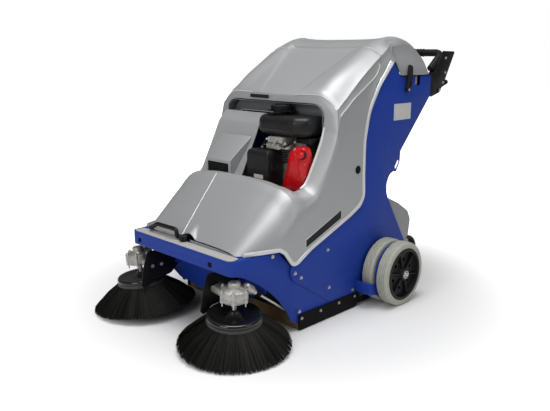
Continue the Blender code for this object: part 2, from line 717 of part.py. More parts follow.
def front_parts():
    """Blue front frame with bumper, arms and flange, its grey pad, the floor and crossmember."""
    half = BUMPER_HALF
    plan = [(ARM_OUT_X, ARM_REAR_Y), (ARM_OUT_X, FOLD_Y), (half, BEND_Y), (half, BUMPER_Y)]
    outer = plan + [(-x, y) for x, y in reversed(plan)]
    t = SHEET
    inner = [(ARM_IN_X, ARM_REAR_Y), (ARM_IN_X, FOLD_Y), (half - t, BEND_Y),
             (half - t, BUMPER_Y + t)]
    inner = inner + [(-x, y) for x, y in reversed(inner)]
    corner = [0, 0.02, 0.02, BUMPER_CORNER, BUMPER_CORNER, 0.02, 0.02, 0]
    inner_corner = [0, 0.02, 0.02, BUMPER_CORNER - t, BUMPER_CORNER - t, 0.02, 0.02, 0]
    band = rounded(outer, corner, 4) + rounded(inner, inner_corner, 4)[::-1]
    frame = plate("front_frame", BLUE, band, 0.0, 0.34, "xy")
    side_view = ([(-0.800, BUMPER_TOP_Z)] + ARM_TOP + ARCH + [(-0.800, BUMPER_BOTTOM_Z)])
    combine(frame, plate("frame_outline", None, side_view, -0.4, 0.4), "INTERSECT")
    lid = [(half - 0.001, BUMPER_Y + FLANGE_DEPTH), (half - 0.001, BUMPER_Y + 0.001)]
    lid = lid + [(-x, y) for x, y in reversed(lid)]
    deck = rounded(lid, [0, BUMPER_CORNER, BUMPER_CORNER, 0], 4)
    combine(frame, plate("bumper_flange", None, deck, BUMPER_TOP_Z - t, BUMPER_TOP_Z, "xy"), "UNION")
    for x in (-0.234, 0.174):
        hole = block(f"bumper_hole_{x:.3f}", None, (x - 0.010, BUMPER_Y - 0.02, 0.2700),
                     (x + 0.010, BUMPER_Y + 0.02, 0.2870))
        combine(frame, hole)
    pad_half = half - 0.010
    pad = [(pad_half - 0.022, PAD_REAR_Y), (pad_half, BUMPER_Y + 0.004),
           (-pad_half, BUMPER_Y + 0.004), (-pad_half + 0.022, PAD_REAR_Y)]
    top = BUMPER_TOP_Z + CLEARANCE
    plate("bumper_pad", PAD_GREY, rounded(pad, [0.006, 0.034, 0.034, 0.006], 5), top,
          top + PAD_THICKNESS, "xy")
    floor_parts()


def floor_parts():
    """Chassis floor with the apron bent down at its front, and the castor's crossmember."""
    t = SHEET
    wide = INNER_HALF
    slope = (ARM_IN_X - (BUMPER_HALF - SHEET)) / (FOLD_Y - BEND_Y)
    front_half = ARM_IN_X - slope * (FOLD_Y - FLOOR_FRONT_Y) - CLEARANCE
    outline = [(REAR_HALF, FLOOR_REAR_Y), (REAR_HALF, FOLD_Y + 0.020), (wide, FOLD_Y),
               (front_half, FLOOR_FRONT_Y)]
    outline += [(-x, y) for x, y in reversed(outline)]
    floor = plate("chassis_floor", BLUE, outline, FLOOR_Z, FLOOR_Z + t, "xy")
    apron = [(front_half, FLOOR_Z + t), (front_half, 0.1720), (0.1780, 0.1160), (0.0580, APRON_LOW_Z),
             (-0.0580, APRON_LOW_Z), (-0.1780, 0.1160), (-front_half, 0.1720),
             (-front_half, FLOOR_Z + t)]
    combine(floor, plate("apron", None, apron, FLOOR_FRONT_Y, FLOOR_FRONT_Y + t, "xz"), "UNION")
    for side in (1, -1):
        lug_x = side * (BRACKET_X - CLEARANCE)
        reach = ARM_PIVOT_Y - 0.012
        lug = plate(f"pivot_lug_{side}", None,
                    [(FLOOR_FRONT_Y + 0.001, ARM_PIVOT_Z - 0.014),
                     (FLOOR_FRONT_Y + 0.001, ARM_PIVOT_Z + 0.014),
                     (ARM_PIVOT_Y, ARM_PIVOT_Z + 0.011), (reach, ARM_PIVOT_Z),
                     (ARM_PIVOT_Y, ARM_PIVOT_Z - 0.011)], lug_x, lug_x - side * 2 * t)
        combine(floor, lug, "UNION")
        pin = plate(f"pivot_pin_{side}", None, circle((ARM_PIVOT_Y, ARM_PIVOT_Z), PIVOT_RADIUS, 12),
                    lug_x - side * t, side * (BRACKET_X + 0.010))
        combine(floor, pin, "UNION")
    y0, y1 = CROSS_Y - CROSS_DEPTH / 2, CROSS_Y + CROSS_DEPTH / 2
    cross_half = ARM_IN_X - slope * (FOLD_Y - y0) - CLEARANCE
    section = [(y0, CROSS_LOW_Z), (y1, CROSS_LOW_Z), (y1, CROSS_HIGH_Z), (y0, CROSS_HIGH_Z)]
    bore = [(y0 + t, CROSS_LOW_Z + t), (y1 - t, CROSS_LOW_Z + t), (y1 - t, CROSS_HIGH_Z - t),
            (y0 + t, CROSS_HIGH_Z - t)]
    plate("front_crossmember", BLACK_STEEL, section, -cross_half, cross_half, "yz", [bore])


def chamber_parts():
    """Arched housing over the main brush with its rubber flaps, and the engine's deck."""
    t = SHEET
    centre_y, radius = BRUSH_Y, BRUSH_RADIUS + 0.030
    arch = [(HOUSING_FRONT_Y, HOUSING_LOW_Z), (HOUSING_FRONT_Y, 0.1600)]
    arch += [(centre_y - radius * 1.15 * math.cos(a), BRUSH_RADIUS + 0.030 + radius * 0.86 * math.sin(a))
             for a in [math.radians(20 + 140 * k / 8) for k in range(9)]]
    arch += [(HOUSING_REAR_Y, 0.1700), (HOUSING_REAR_Y, 0.1400)]
    plate("brush_housing", BLUE, ribbon(arch, -t), -INNER_HALF, INNER_HALF)
    front = HOUSING_FRONT_Y - CLEARANCE
    plate("front_flap", BROWN_RUBBER,
          [(front - FLAP_THICKNESS, FLOOR_GAP), (front, FLOOR_GAP), (front, 0.1300),
           (front - FLAP_THICKNESS, 0.1300)], -INNER_HALF, INNER_HALF)
    plate("rear_flap", RUBBER,
          [(HOUSING_REAR_Y - t - CLEARANCE - FLAP_THICKNESS, 0.0300),
           (HOUSING_REAR_Y - t - CLEARANCE, 0.0300), (HOUSING_REAR_Y - t - CLEARANCE, 0.1650),
           (HOUSING_REAR_Y - t - CLEARANCE - FLAP_THICKNESS, 0.1650)], -INNER_HALF, INNER_HALF)
    seat = FLOOR_Z + t + CLEARANCE
    w = DECK_HALF
    hat = [(w + 0.03, seat), (w + 0.03, seat + t), (w, seat + t), (w, DECK_Z), (-w, DECK_Z),
           (-w, seat + t), (-w - 0.03, seat + t), (-w - 0.03, seat), (-w + t, seat),
           (-w + t, DECK_Z - t), (w - t, DECK_Z - t), (w - t, seat)]
    plate("engine_deck", BLACK_STEEL, hat, DECK_FRONT_Y, DECK_REAR_Y, "xz")


def main_brush():
    """Sweeping cylinder whose bristle rows run in a chevron round the core."""
    turn = empty("main_brush_turn", (0.0, BRUSH_Y, BRUSH_RADIUS + FLOOR_GAP), parent=ROOT)
    stations = 7
    rows = []
    for i in range(stations):
        x = -BRUSH_HALF + 2 * BRUSH_HALF * i / (stations - 1)
        twist = BRUSH_TWIST * (1 - abs(x) / BRUSH_HALF)
        ring = []
        for k in range(BRUSH_LOBES):
            for share, r in ((0.0, BRUSH_RADIUS), (0.22, BRUSH_RADIUS), (0.42, BRUSH_CORE + 0.012),
                             (0.80, BRUSH_CORE + 0.012)):
                a = -2 * math.pi * (k + share) / BRUSH_LOBES + twist
                ring.append((x, r * math.cos(a), r * math.sin(a)))
        rows.append(ring)
    build = bmesh.new()
    grid = [[build.verts.new(p) for p in ring] for ring in rows]
    count = len(grid[0])
    for low, high in zip(grid, grid[1:]):
        for j in range(count):
            build.faces.new((low[j], low[(j + 1) % count], high[(j + 1) % count], high[j]))
    build.faces.new(grid[0][::-1])
    build.faces.new(grid[-1])
    face_outward(build)
    mesh = bpy.data.meshes.new("main_brush")
    build.to_mesh(mesh)
    build.free()
    brush = place("main_brush", mesh, NYLON, turn)
    shaft_half = INNER_HALF - CLEARANCE
    shaft = turned("main_brush_shaft", None,
                   [(0.0, shaft_half), (0.012, shaft_half), (0.012, -shaft_half), (0.0, -shaft_half)],
                   "+x", (0.0, 0.0, 0.0), 16, turn)
    combine(brush, shaft, "UNION")


def broom_bristles(name, frame):
    """Ring of the side broom with its tufts drawn out of the ring's lower face."""
    build = bmesh.new()
    outer, inner = BROOM_RING_RADIUS, BROOM_RING_RADIUS - 0.026
    middle = (outer + inner) / 2
    low, high = BROOM_RING_Z, BROOM_RING_Z + BROOM_RING_DEPTH
    # section: lower face in two rows of cells, plain sides and top
    section = [(outer, high), (outer, low), (middle, low), (inner, low)]
    rings = []
    for r, z in section:
        ring = []
        for k in range(TUFTS_AROUND):
            a = 2 * math.pi * k / TUFTS_AROUND
            ring.append(build.verts.new((r * math.cos(a), r * math.sin(a), z)))
        rings.append(ring)
    cells = []
    count = len(rings)
    for i in range(count):
        for k in range(TUFTS_AROUND):
            k1 = (k + 1) % TUFTS_AROUND
            face = build.faces.new((rings[i][k], rings[(i + 1) % count][k],
                                    rings[(i + 1) % count][k1], rings[i][k1]))
            if i in (1, 2):
                cells.append((face, i, k))
    face_outward(build)
    faces = [cell[0] for cell in cells]
    bmesh.ops.inset_individual(build, faces=faces, thickness=0.0008, depth=0.0)
    drawn = bmesh.ops.extrude_discrete_faces(build, faces=faces)["faces"]
    for (_, row, k), face in zip(cells, drawn):
        angle = 2 * math.pi * (k + 0.5) / TUFTS_AROUND
        radial = Vector((math.cos(angle), math.sin(angle), 0.0))
        across = Vector((-math.sin(angle), math.cos(angle), 0.0))
        root = face.calc_center_median()
        if row == 1:
            reach, drop = BROOM_TIP_RADIUS - 0.006, 0.0006 + 0.0030 * (k % 3 == 0)
        else:
            reach, drop = BROOM_TIP_RADIUS - 0.040, 0.0010 + 0.0040 * (k % 4 == 1)
        tip = radial * reach + Vector((0.0, 0.0, drop))
        for vert in face.verts:
            offset = vert.co - root
            vert.co = (tip + radial * (6.0 * offset.dot(radial) / 12.0)
                       + Vector((0.0, 0.0, 0.25 * offset.dot(radial)))
                       + across * (1.25 * offset.dot(across)))
    mesh = bpy.data.meshes.new(name)
    build.to_mesh(mesh)
    build.free()
    return place(name, mesh, NYLON, frame)


def side_broom(side, word):
    """Side broom with its hub, its gearbox, swing bracket and the rod that drives it."""
    arm = empty("broom_swing_" + word, (0.0, ARM_PIVOT_Y, ARM_PIVOT_Z), parent=ROOT)
    normal = Vector((side * BROOM_LEAN_OUT, -BROOM_LEAN_FRONT, 1.0)).normalized()
    lean = Vector((0.0, 0.0, 1.0)).rotation_difference(normal).to_euler()
    low = BROOM_TIP_RADIUS * math.sqrt(1 - normal.z ** 2) + BROOM_FLOOR_GAP
    centre = Vector((side * BROOM_X, BROOM_Y - ARM_PIVOT_Y, low - ARM_PIVOT_Z))
    frame = empty("broom_turn_" + word, centre, lean, arm)
    broom_bristles("side_broom_" + word, frame)
    top = BROOM_RING_Z + BROOM_RING_DEPTH + CLEARANCE
    r = BROOM_RING_RADIUS
    turned("broom_hub_" + word, BLACK_PLASTIC,
           [(0.0, top + 0.026), (STUB_RADIUS + 0.008, top + 0.026), (STUB_RADIUS + 0.014, top + 0.016),
            (0.045, top + 0.010), (r - 0.012, top + HUB_THICKNESS + 0.004), (r, top + HUB_THICKNESS),
            (r + 0.003, top), (0.060, top), (0.050, top - 0.004), (0.0, top - 0.004)],
           "z", (0.0, 0.0, 0.0), 20, frame)
    stub_low = top + 0.026 + CLEARANCE
    box = turned("gearbox_" + word, ALLOY,
                 [(0.0, GEARBOX_HIGH + 0.024), (0.018, GEARBOX_HIGH + 0.024), (0.020, GEARBOX_HIGH + 0.020),
                  (0.020, GEARBOX_HIGH + 0.004), (GEARBOX_RADIUS - 0.006, GEARBOX_HIGH),
                  (GEARBOX_RADIUS, GEARBOX_HIGH - 0.006), (GEARBOX_RADIUS, GEARBOX_LOW + 0.016),
                  (GEARBOX_RADIUS - 0.004, GEARBOX_LOW + 0.008), (0.020, GEARBOX_LOW),
                  (STUB_RADIUS, GEARBOX_LOW), (STUB_RADIUS, stub_low), (0.0, stub_low)],
                 "z", (0.0, 0.0, 0.0), 18, frame)
    lug_low = GEARBOX_LOW + 0.014
    bracket_face = BRACKET_X + BRACKET_SHEET + CLEARANCE
    lug_reach = (BROOM_X + abs(normal.x) * lug_low - bracket_face) / math.sqrt(1 - normal.x ** 2)
    lug = block("gearbox_lug_" + word, None, (-side * lug_reach, -0.022, lug_low),
                (-side * 0.030, 0.022, GEARBOX_HIGH - 0.008), frame)
    combine(box, lug, "UNION")
    broom_arm(side, word, arm, frame, box)


ROD_FRONT = (0.292, -0.668, 0.1980)
ROD_REAR = (0.292, -0.512, 0.0870)


def broom_arm(side, word, arm, frame, box):
    """Gearbox lobe, black swing bracket and drive rod of one side broom."""
    shift = Vector((0.0, -ARM_PIVOT_Y, -ARM_PIVOT_Z))
    front = Vector((side * ROD_FRONT[0], ROD_FRONT[1], ROD_FRONT[2]))
    rear = Vector((side * ROD_REAR[0], ROD_REAR[1], ROD_REAR[2]))
    along = (rear - front).normalized()
    aim = along.to_track_quat("Z", "Y").to_euler()
    lobe_start = front - along * 0.022
    lobe = turned("gearbox_lobe_" + word, None,
                  [(0.0, 0.024), (LOBE_RADIUS - 0.005, 0.024), (LOBE_RADIUS, 0.018),
                   (LOBE_RADIUS, -0.012), (0.0, -0.012)],
                  "z", lobe_start + shift, 16, arm, rotation=aim)
    combine(box, lobe, "UNION")
    rod = empty("drive_rod_turn_" + word, front + shift, aim, arm)
    length = (rear - front).length
    turned("drive_rod_" + word, ZINC,
           [(0.0, length), (ROD_RADIUS, length), (ROD_RADIUS, 0.016), (0.010, 0.014), (0.010, 0.0023),
            (0.0, 0.0023)], "z", (0.0, 0.0, 0.0), 12, rod)
    x0, x1 = side * BRACKET_X, side * (BRACKET_X + BRACKET_SHEET)
    outline = [(-0.7600, 0.2480), (-0.8150, 0.1650), (-0.8000, 0.1560), (-0.6500, 0.1600),
               (-0.6220, 0.1740), (-0.6170, 0.1880), (-0.6220, 0.2020), (-0.6360, 0.2480)]
    outline = [(y - ARM_PIVOT_Y, z - ARM_PIVOT_Z) for y, z in outline]
    hole = circle((0.0, 0.0), PIVOT_RADIUS + CLEARANCE, 12)
    return plate("broom_bracket_" + word, BLACK_STEEL, outline, x0, x1, "yz", [hole], arm)


def castor():
    """Swivelling front castor under the crossmember."""
    swivel = empty("castor_swivel", (0.0, CROSS_Y, 0.0), parent=ROOT)
    r = CASTOR_WHEEL_RADIUS
    gap = 0.0010
    cheek = CASTOR_WIDTH / 2 + gap
    top = CROSS_LOW_Z - CLEARANCE
    crown = r * 2 + 0.010
    fork = plate("castor_fork", BLACK_STEEL,
                 [(-cheek - 0.003, r - 0.010), (-cheek, r - 0.010), (-cheek, crown), (cheek, crown),
                  (cheek, r - 0.010), (cheek + 0.003, r - 0.010), (cheek + 0.003, crown + 0.004),
                  (0.014, crown + 0.004), (0.014, top), (-0.014, top), (-0.014, crown + 0.004),
                  (-cheek - 0.003, crown + 0.004)],
                 -0.014, CASTOR_TRAIL + 0.012, "xz", parent=swivel)
    roll = empty("castor_roll", (0.0, CASTOR_TRAIL, r), parent=swivel)
    turned("castor_wheel", RUBBER,
           [(0.0, cheek - 0.0007), (0.012, cheek - 0.0007), (0.012, CASTOR_WIDTH / 2 - 0.002),
            (r - 0.004, CASTOR_WIDTH / 2 - 0.002), (r, CASTOR_WIDTH / 2 - 0.006),
            (r, -CASTOR_WIDTH / 2 + 0.006), (r - 0.004, -CASTOR_WIDTH / 2 + 0.002),
            (0.012, -CASTOR_WIDTH / 2 + 0.002), (0.012, -cheek + 0.0007), (0.0, -cheek + 0.0007)],
           "+x", (0.0, 0.0, 0.0), 18, roll)
    return fork


def engine():
    """Small petrol engine on its deck, with the parts that the hood's window shows."""
    gap = CLEARANCE
    x0, x1, y0, y1 = ENGINE_LEFT_X, ENGINE_RIGHT_X, ENGINE_FRONT_Y, ENGINE_REAR_Y
    crank = block("engine_block", ALLOY, (x0, y0, DECK_Z + gap), (x1, y1, CRANKCASE_TOP_Z))
    bevelled(crank, 0.012, 2)
    head_front, head_rear = y0 + 0.030, y1 - 0.030
    head = block("cylinder_head", None, (x0 + 0.030, head_front, CRANKCASE_TOP_Z - 0.020),
                 (x1 - 0.060, head_rear, HEAD_TOP_Z))
    combine(crank, head, "UNION")
    stand = block("tank_stand", None, (x0 + 0.040, y0 + 0.040, HEAD_TOP_Z - 0.010),
                  (x1 - 0.070, y1 - 0.050, TANK_Z - gap))
    combine(crank, stand, "UNION")
    left, right, low, top = x0 + 0.098, x1 - 0.010, CRANKCASE_TOP_Z - 0.120, HEAD_TOP_Z - 0.006
    cover = plate("fan_cover", RED,
                  rounded([(left, low), (right, low), (right, CRANKCASE_TOP_Z), (right - 0.018, top),
                           (left + 0.030, top), (left, top - 0.034)],
                          [0.02, 0.03, 0.05, 0.03, 0.02, 0.02], 2),
                  y0 - COVER_DEPTH, y0 - gap, "xz")
    bevelled(cover, 0.014, 2)
    smooth(cover)
    box = block("air_filter_box", BLACK_PLASTIC,
                (x0 - 0.020, y0 - FILTER_DEPTH, CRANKCASE_TOP_Z - 0.098),
                (x0 + 0.094, y0 - gap, CRANKCASE_TOP_Z + 0.052))
    bevelled(box, 0.014, 2)
    smooth(box)
    left, right, front = x0 - 0.028, x1 - 0.014, y0 - 0.038
    tank = plate("fuel_tank", BLACK_PLASTIC,
                 rounded([(left, front), (right - 0.051, front), (right, front + 0.033),
                          (right, head_rear), (left, head_rear)],
                         [0.05, 0.04, 0.04, 0.04, 0.05], 3), TANK_Z, TANK_Z + TANK_HEIGHT, "xy")
    bevelled(tank, 0.022, 2, 60)
    smooth(tank, 50)
    neck_x, neck_y, neck_z = x0 + 0.052, head_front, TANK_Z + TANK_HEIGHT + 0.012
    combine(tank, turned("filler_neck", None,
                         [(0.0, neck_z), (0.030, neck_z), (0.030, neck_z - 0.028),
                          (0.0, neck_z - 0.028)], "z", (neck_x, neck_y, 0.0), 16), "UNION")
    turn = empty("fuel_cap_turn", (neck_x, neck_y, neck_z + gap), parent=ROOT)
    turned("fuel_cap", BLACK_PLASTIC,
           [(0.0, 0.022), (0.034, 0.022), (0.040, 0.017), (0.040, 0.001), (0.034, 0.0), (0.0, 0.0)],
           "z", (0.0, 0.0, 0.0), 24, turn)
    carb = block("carburettor", ALLOY, (x0 + 0.050, y0 - 0.050, HEAD_TOP_Z - 0.003),
                 (x0 + 0.155, head_front - gap, TANK_Z - gap))
    bevelled(carb, 0.006)
    exhaust_z = HEAD_TOP_Z - 0.040
    muffler = turned("muffler", BLACK_STEEL,
                     [(0.0, 0.075), (0.036, 0.075), (0.042, 0.069), (0.042, -0.069), (0.036, -0.075),
                      (0.0, -0.075)], "+x", (x0 + 0.120, y1 + 0.050, exhaust_z), 18)
    pipe = tube("exhaust_stub", None, [(x0 + 0.090, y1 + 0.040, exhaust_z),
                                       (x0 + 0.090, head_rear + gap, exhaust_z)], 0.012, 1)
    pipe = to_mesh(pipe)
    combine(muffler, pipe, "UNION")
    return crank


def rear_parts():
    """Rear cover between the panels, handle brackets, bar, levers and grab bar."""
    t = 0.002
    path = [(0.036, 0.4060), (0.029, 0.4350), (0.030, 0.4600), (0.048, 0.4960), (0.080, 0.5400),
            (0.296, PANEL_TOP_Z - 0.0990), (0.304, PANEL_TOP_Z - 0.0860),
            (0.304, PANEL_TOP_Z - 0.0030), (0.240, PANEL_TOP_Z - 0.0020)]
    inset = [(y - 0.006, z) for y, z in path]
    plate("rear_cover", BLUE, ribbon(inset, t), -REAR_HALF, REAR_HALF)
    filter_low = HOPPER_TOP_Z + 0.022
    casing = block("dust_filter", GREY_PLASTIC, (-REAR_HALF, -0.0480, filter_low),
                   (REAR_HALF, 0.0160, filter_low + 0.130))
    bevelled(casing, 0.004)
    for side, word in ((1, "left"), (-1, "right")):
        outline = [(0.3960, 0.0930), (0.4900, 0.0910), (0.4220, -0.0230), (0.3840, -0.0750),
                   (0.3200, -0.0910), (0.3085, -0.0810), (0.3085, -0.0050), (0.3400, 0.0050)]
        outline = [(y, PANEL_TOP_Z + rise) for y, rise in outline]
        hole = circle((LEVER_PIVOT_Y, LEVER_PIVOT_Z), LEVER_RADIUS + CLEARANCE, 12)
        plate("handle_bracket_" + word, BLACK_STEEL, rounded(outline, 0.006, 2),
              side * ARM_IN_X, side * ARM_OUT_X, "yz", [hole])
        rail = [(REAR_HALF, RAIL_Z), (REAR_HALF, RAIL_Z - 0.022), (REAR_HALF - t, RAIL_Z - 0.022),
                (REAR_HALF - t, RAIL_Z - t), (HOPPER_HALF + 0.003, RAIL_Z - t), (HOPPER_HALF + 0.003, RAIL_Z)]
        plate("hopper_rail_" + word, BLACK_STEEL, [(side * x, z) for x, z in rail], -0.050, 0.160, "xz")


def handle():
    """Handlebar between the brackets, and the sprung drive lever below it."""
    x = ARM_IN_X - CLEARANCE - HANDLE_RADIUS
    bend = rounded([(-x, 0.3300, 0.8900), (-x, HANDLE_Y, HANDLE_Z), (x, HANDLE_Y, HANDLE_Z),
                    (x, 0.3300, 0.8900)], [0, 0.030, 0.030, 0], 4, closed=False)
    tube("handlebar", BLACK_PLASTIC, bend, HANDLE_RADIUS, 2)
    press = empty("drive_lever_pivot", (0.0, LEVER_PIVOT_Y, LEVER_PIVOT_Z), parent=ROOT)
    out = ARM_OUT_X + 0.004
    arm_x = ARM_IN_X - 0.013
    reach_y, rise = 0.1010, 0.0330
    path = rounded([(-out, 0.0, 0.0), (-arm_x, 0.0, 0.0), (-arm_x, reach_y, rise), (arm_x, reach_y, rise),
                    (arm_x, 0.0, 0.0), (out, 0.0, 0.0)], [0, 0.009, 0.020, 0.020, 0.009, 0], 3, closed=False)
    tube("drive_lever", BLACK_STEEL, path, LEVER_RADIUS, 1, press)
    foot_y = -0.7000 - CLEARANCE
    path = rounded([(-0.2300, foot_y, 0.3200), (-0.2300, GRAB_Y, 0.3200), (-0.1760, GRAB_Y, 0.3480),
                    (-0.0570, GRAB_Y, 0.3490), (-0.0570, GRAB_Y, 0.3200), (-0.0570, foot_y, 0.3200)],
                   [0, 0.004, 0.014, 0.012, 0.004, 0], 2, closed=False)
    tube("grab_bar", BLACK_STEEL, path, GRAB_RADIUS, 1, HOOD_FRAME)
    knob = empty("latch_knob_turn", (KNOB_X, KNOB_Y, BUMPER_TOP_Z + CLEARANCE), parent=ROOT)
    lobes = 5
    outline = []
    for k in range(4 * lobes):
        share = 1.0 if k % 4 < 2 else 0.80
        turn = 2 * math.pi * k / (4 * lobes)
        outline.append((share * KNOB_RADIUS * math.cos(turn), share * KNOB_RADIUS * math.sin(turn)))
    grip = plate("latch_knob", BLACK_PLASTIC, outline, 0.0060, 0.0240, "xy", parent=knob)
    stem = plate("latch_stem", None, circle((0.0, 0.0), 0.0055, 12), 0.0, 0.0100, "xy", parent=knob)
    combine(grip, stem, "UNION")
    side_lever()


def side_lever():
    """Black hand lever on the left panel that lifts both side brooms."""
    pivot = empty("side_lever_pivot", (0.0, SIDE_LEVER_Y, SIDE_LEVER_Z), parent=ROOT)
    x0 = HOOD_SIDE_X + 0.0025
    outline = [(-0.008, 0.000), (-0.006, -0.007), (0.000, -0.010), (0.007, -0.006), (0.009, 0.004),
               (0.0220, 0.040), (0.0120, 0.100), (-0.0030, 0.100), (0.0060, 0.042)]
    grip = plate("side_lever", BLACK_PLASTIC, rounded(outline, 0.004, 2), x0, x0 + 0.010, "yz",
                 parent=pivot)
    boss = plate("lever_boss", None, circle((0.0, 0.0), 0.0060, 12), PANEL_OUT_X + CLEARANCE, x0 + 0.002,
                 "yz", parent=pivot)
    combine(grip, boss, "UNION")


def inset(outline, wall):
    """The outline moved inwards by the wall, corner by corner, for one that runs round to the left."""
    moved = []
    points = [Vector(p) for p in outline]
    for i, p in enumerate(points):
        before = (p - points[i - 1]).normalized()
        after = (points[(i + 1) % len(points)] - p).normalized()
        normal = Vector((-before.y - after.y, before.x + after.x)).normalized()
        share = normal.dot(Vector((-before.y, before.x)))
        moved.append(tuple(p + normal * (wall / share)))
    return moved


def hopper():
    """Grey waste hopper on its own two wheels, open towards the brush."""
    slide = empty("hopper_slide", (0.0, 0.0, 0.0), parent=ROOT)
    low, top, mouth = HOPPER_LOW_Z, HOPPER_TOP_Z, HOPPER_FRONT_Y
    outer = [(mouth, low), (0.2000, low), (0.2350, low + 0.038), (0.2350, 0.1600), (0.2960, 0.1780),
             (0.3080, 0.2550), (0.2860, top - 0.082), (0.2140, top - 0.037), (0.1320, top),
             (0.0100, top), (-0.0400, top - 0.048), (-0.0500, 0.2400), (mouth, 0.1900)]
    shape = rounded(outer, [0] + [0.02] * 3 + [0.015] + [0.02] * 7 + [0], 2)
    tub = plate("hopper", GREY_PLASTIC, shape, -HOPPER_HALF, HOPPER_HALF, parent=slide)
    w = HOPPER_WALL
    inner = inset(outer, w)
    inner[0] = (mouth - 0.025, inner[0][1])
    inner[-1] = (mouth - 0.025, inner[-1][1])
    combine(tub, plate("hopper_inside", None, inner, -HOPPER_HALF + w, HOPPER_HALF - w, parent=slide))
    for side in (1, -1):
        ear = [(0.2250, 0.0600), (0.2950, 0.0900), (0.3200, 0.0900), (0.3280, 0.1080), (0.3200, 0.1260),
               (0.2950, 0.1700), (0.2250, 0.1700)]
        ears = plate(f"hopper_ear_{side}", None, ear, side * (HOPPER_HALF - 2 * w), side * HOPPER_HALF,
                     parent=slide)
        combine(tub, ears, "UNION")
        hole = plate(f"ear_hole_{side}", None, circle((HOPPER_WHEEL_Y, HOPPER_WHEEL_Z), 0.0083, 12),
                     side * (HOPPER_HALF - 0.050), side * (HOPPER_HALF + 0.020), parent=slide)
        combine(tub, hole)
        ledge = block(f"hopper_ledge_{side}", None,
                      (side * (HOPPER_HALF - 0.001), -0.048, RAIL_Z + CLEARANCE),
                      (side * (HOPPER_HALF + 0.036), 0.160, RAIL_Z + CLEARANCE + w), slide)
        combine(tub, ledge, "UNION")
    roll = empty("hopper_wheel_turn", (0.0, HOPPER_WHEEL_Y, HOPPER_WHEEL_Z), parent=slide)
    r = HOPPER_WHEEL_RADIUS
    face = HOPPER_HALF - 2 * w - 0.002
    back = face - 0.028
    end = HOPPER_HALF + 0.002
    turned("hopper_wheels", BLACK_PLASTIC,
           [(0.0, end), (0.008, end), (0.008, face), (r - 0.006, face), (r, face - 0.006), (r, back),
            (0.008, back), (0.008, -back), (r, -back), (r, -face + 0.006), (r - 0.006, -face),
            (0.008, -face), (0.008, -end), (0.0, -end)], "+x", (0.0, 0.0, 0.0), 14, roll)


hood()
recess_parts()
for turn_side, side_word in ((1, "left"), (-1, "right")):
    side_parts(turn_side, side_word)
    wheels(turn_side, side_word)
    side_broom(turn_side, side_word)
front_parts()
chamber_parts()
main_brush()
castor()
engine()
rear_parts()
handle()
hopper()
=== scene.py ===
import math
import random

import bmesh
import bpy
from mathutils import Matrix, Vector
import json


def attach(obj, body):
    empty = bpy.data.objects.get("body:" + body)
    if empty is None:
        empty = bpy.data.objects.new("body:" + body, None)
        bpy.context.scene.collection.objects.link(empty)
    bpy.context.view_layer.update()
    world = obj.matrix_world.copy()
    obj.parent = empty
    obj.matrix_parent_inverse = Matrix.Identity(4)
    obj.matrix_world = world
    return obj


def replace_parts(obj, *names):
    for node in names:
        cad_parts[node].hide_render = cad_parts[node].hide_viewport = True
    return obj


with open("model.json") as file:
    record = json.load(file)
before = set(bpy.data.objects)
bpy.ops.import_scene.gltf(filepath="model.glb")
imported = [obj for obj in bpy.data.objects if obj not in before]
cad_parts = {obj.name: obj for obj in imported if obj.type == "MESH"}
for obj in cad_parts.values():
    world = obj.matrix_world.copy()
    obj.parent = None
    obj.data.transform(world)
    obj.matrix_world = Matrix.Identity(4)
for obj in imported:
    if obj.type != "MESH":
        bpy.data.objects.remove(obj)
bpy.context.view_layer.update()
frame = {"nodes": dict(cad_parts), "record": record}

# Camera. It stands at the machine's left front, about waist high and 2.7 m away,
# and looks a little down, as the photographer did.
AXLE_Y = 0.2152
eye = bpy.data.cameras.new("camera")
eye.lens = 42.56
eye.sensor_width = 36.0
camera = bpy.data.objects.new("camera", eye)
camera.location = (1.76731, -2.03810 + AXLE_Y, 0.96721)
camera.rotation_euler = (math.radians(76.557), 0.0, math.radians(44.997))
bpy.context.scene.collection.objects.link(camera)
bpy.context.scene.camera = camera
bpy.context.scene.view_settings.view_transform = "Standard"

# Studio. A wide pale floor, an even white surround and three soft lamps, the largest of them
# overhead, as for a picture cut out on white.
bpy.ops.mesh.primitive_plane_add(size=30.0, location=(0.0, 0.0, -0.0006))
floor = bpy.context.object
floor.name = "floor"
paper = bpy.data.materials.new("studio_paper")
paper.use_nodes = True
nodes, links = paper.node_tree.nodes, paper.node_tree.links
nodes.clear()
sheet = nodes.new("ShaderNodeBsdfDiffuse")
sheet.inputs["Color"].default_value = (0.77, 0.77, 0.77, 1.0)
glow = nodes.new("ShaderNodeEmission")
glow.inputs["Color"].default_value = (1.0, 1.0, 1.0, 1.0)
glow.inputs["Strength"].default_value = 1.55
path = nodes.new("ShaderNodeLightPath")
seen = nodes.new("ShaderNodeMath")
seen.operation = "ADD"
seen.use_clamp = True
links.new(path.outputs["Is Camera Ray"], seen.inputs[0])
links.new(path.outputs["Is Transmission Ray"], seen.inputs[1])
where = nodes.new("ShaderNodeTexCoord")
away = nodes.new("ShaderNodeVectorMath")
away.operation = "LENGTH"
links.new(where.outputs["Object"], away.inputs[0])
fade = nodes.new("ShaderNodeMapRange")
fade.interpolation_type = "SMOOTHSTEP"
fade.inputs["From Min"].default_value = 0.55
fade.inputs["From Max"].default_value = 1.50
fade.inputs["To Min"].default_value = 0.0
links.new(away.outputs["Value"], fade.inputs["Value"])
share = nodes.new("ShaderNodeMath")
share.operation = "MULTIPLY"
links.new(seen.outputs[0], share.inputs[0])
links.new(fade.outputs[0], share.inputs[1])
both = nodes.new("ShaderNodeMixShader")
links.new(share.outputs[0], both.inputs[0])
links.new(sheet.outputs[0], both.inputs[1])
links.new(glow.outputs[0], both.inputs[2])
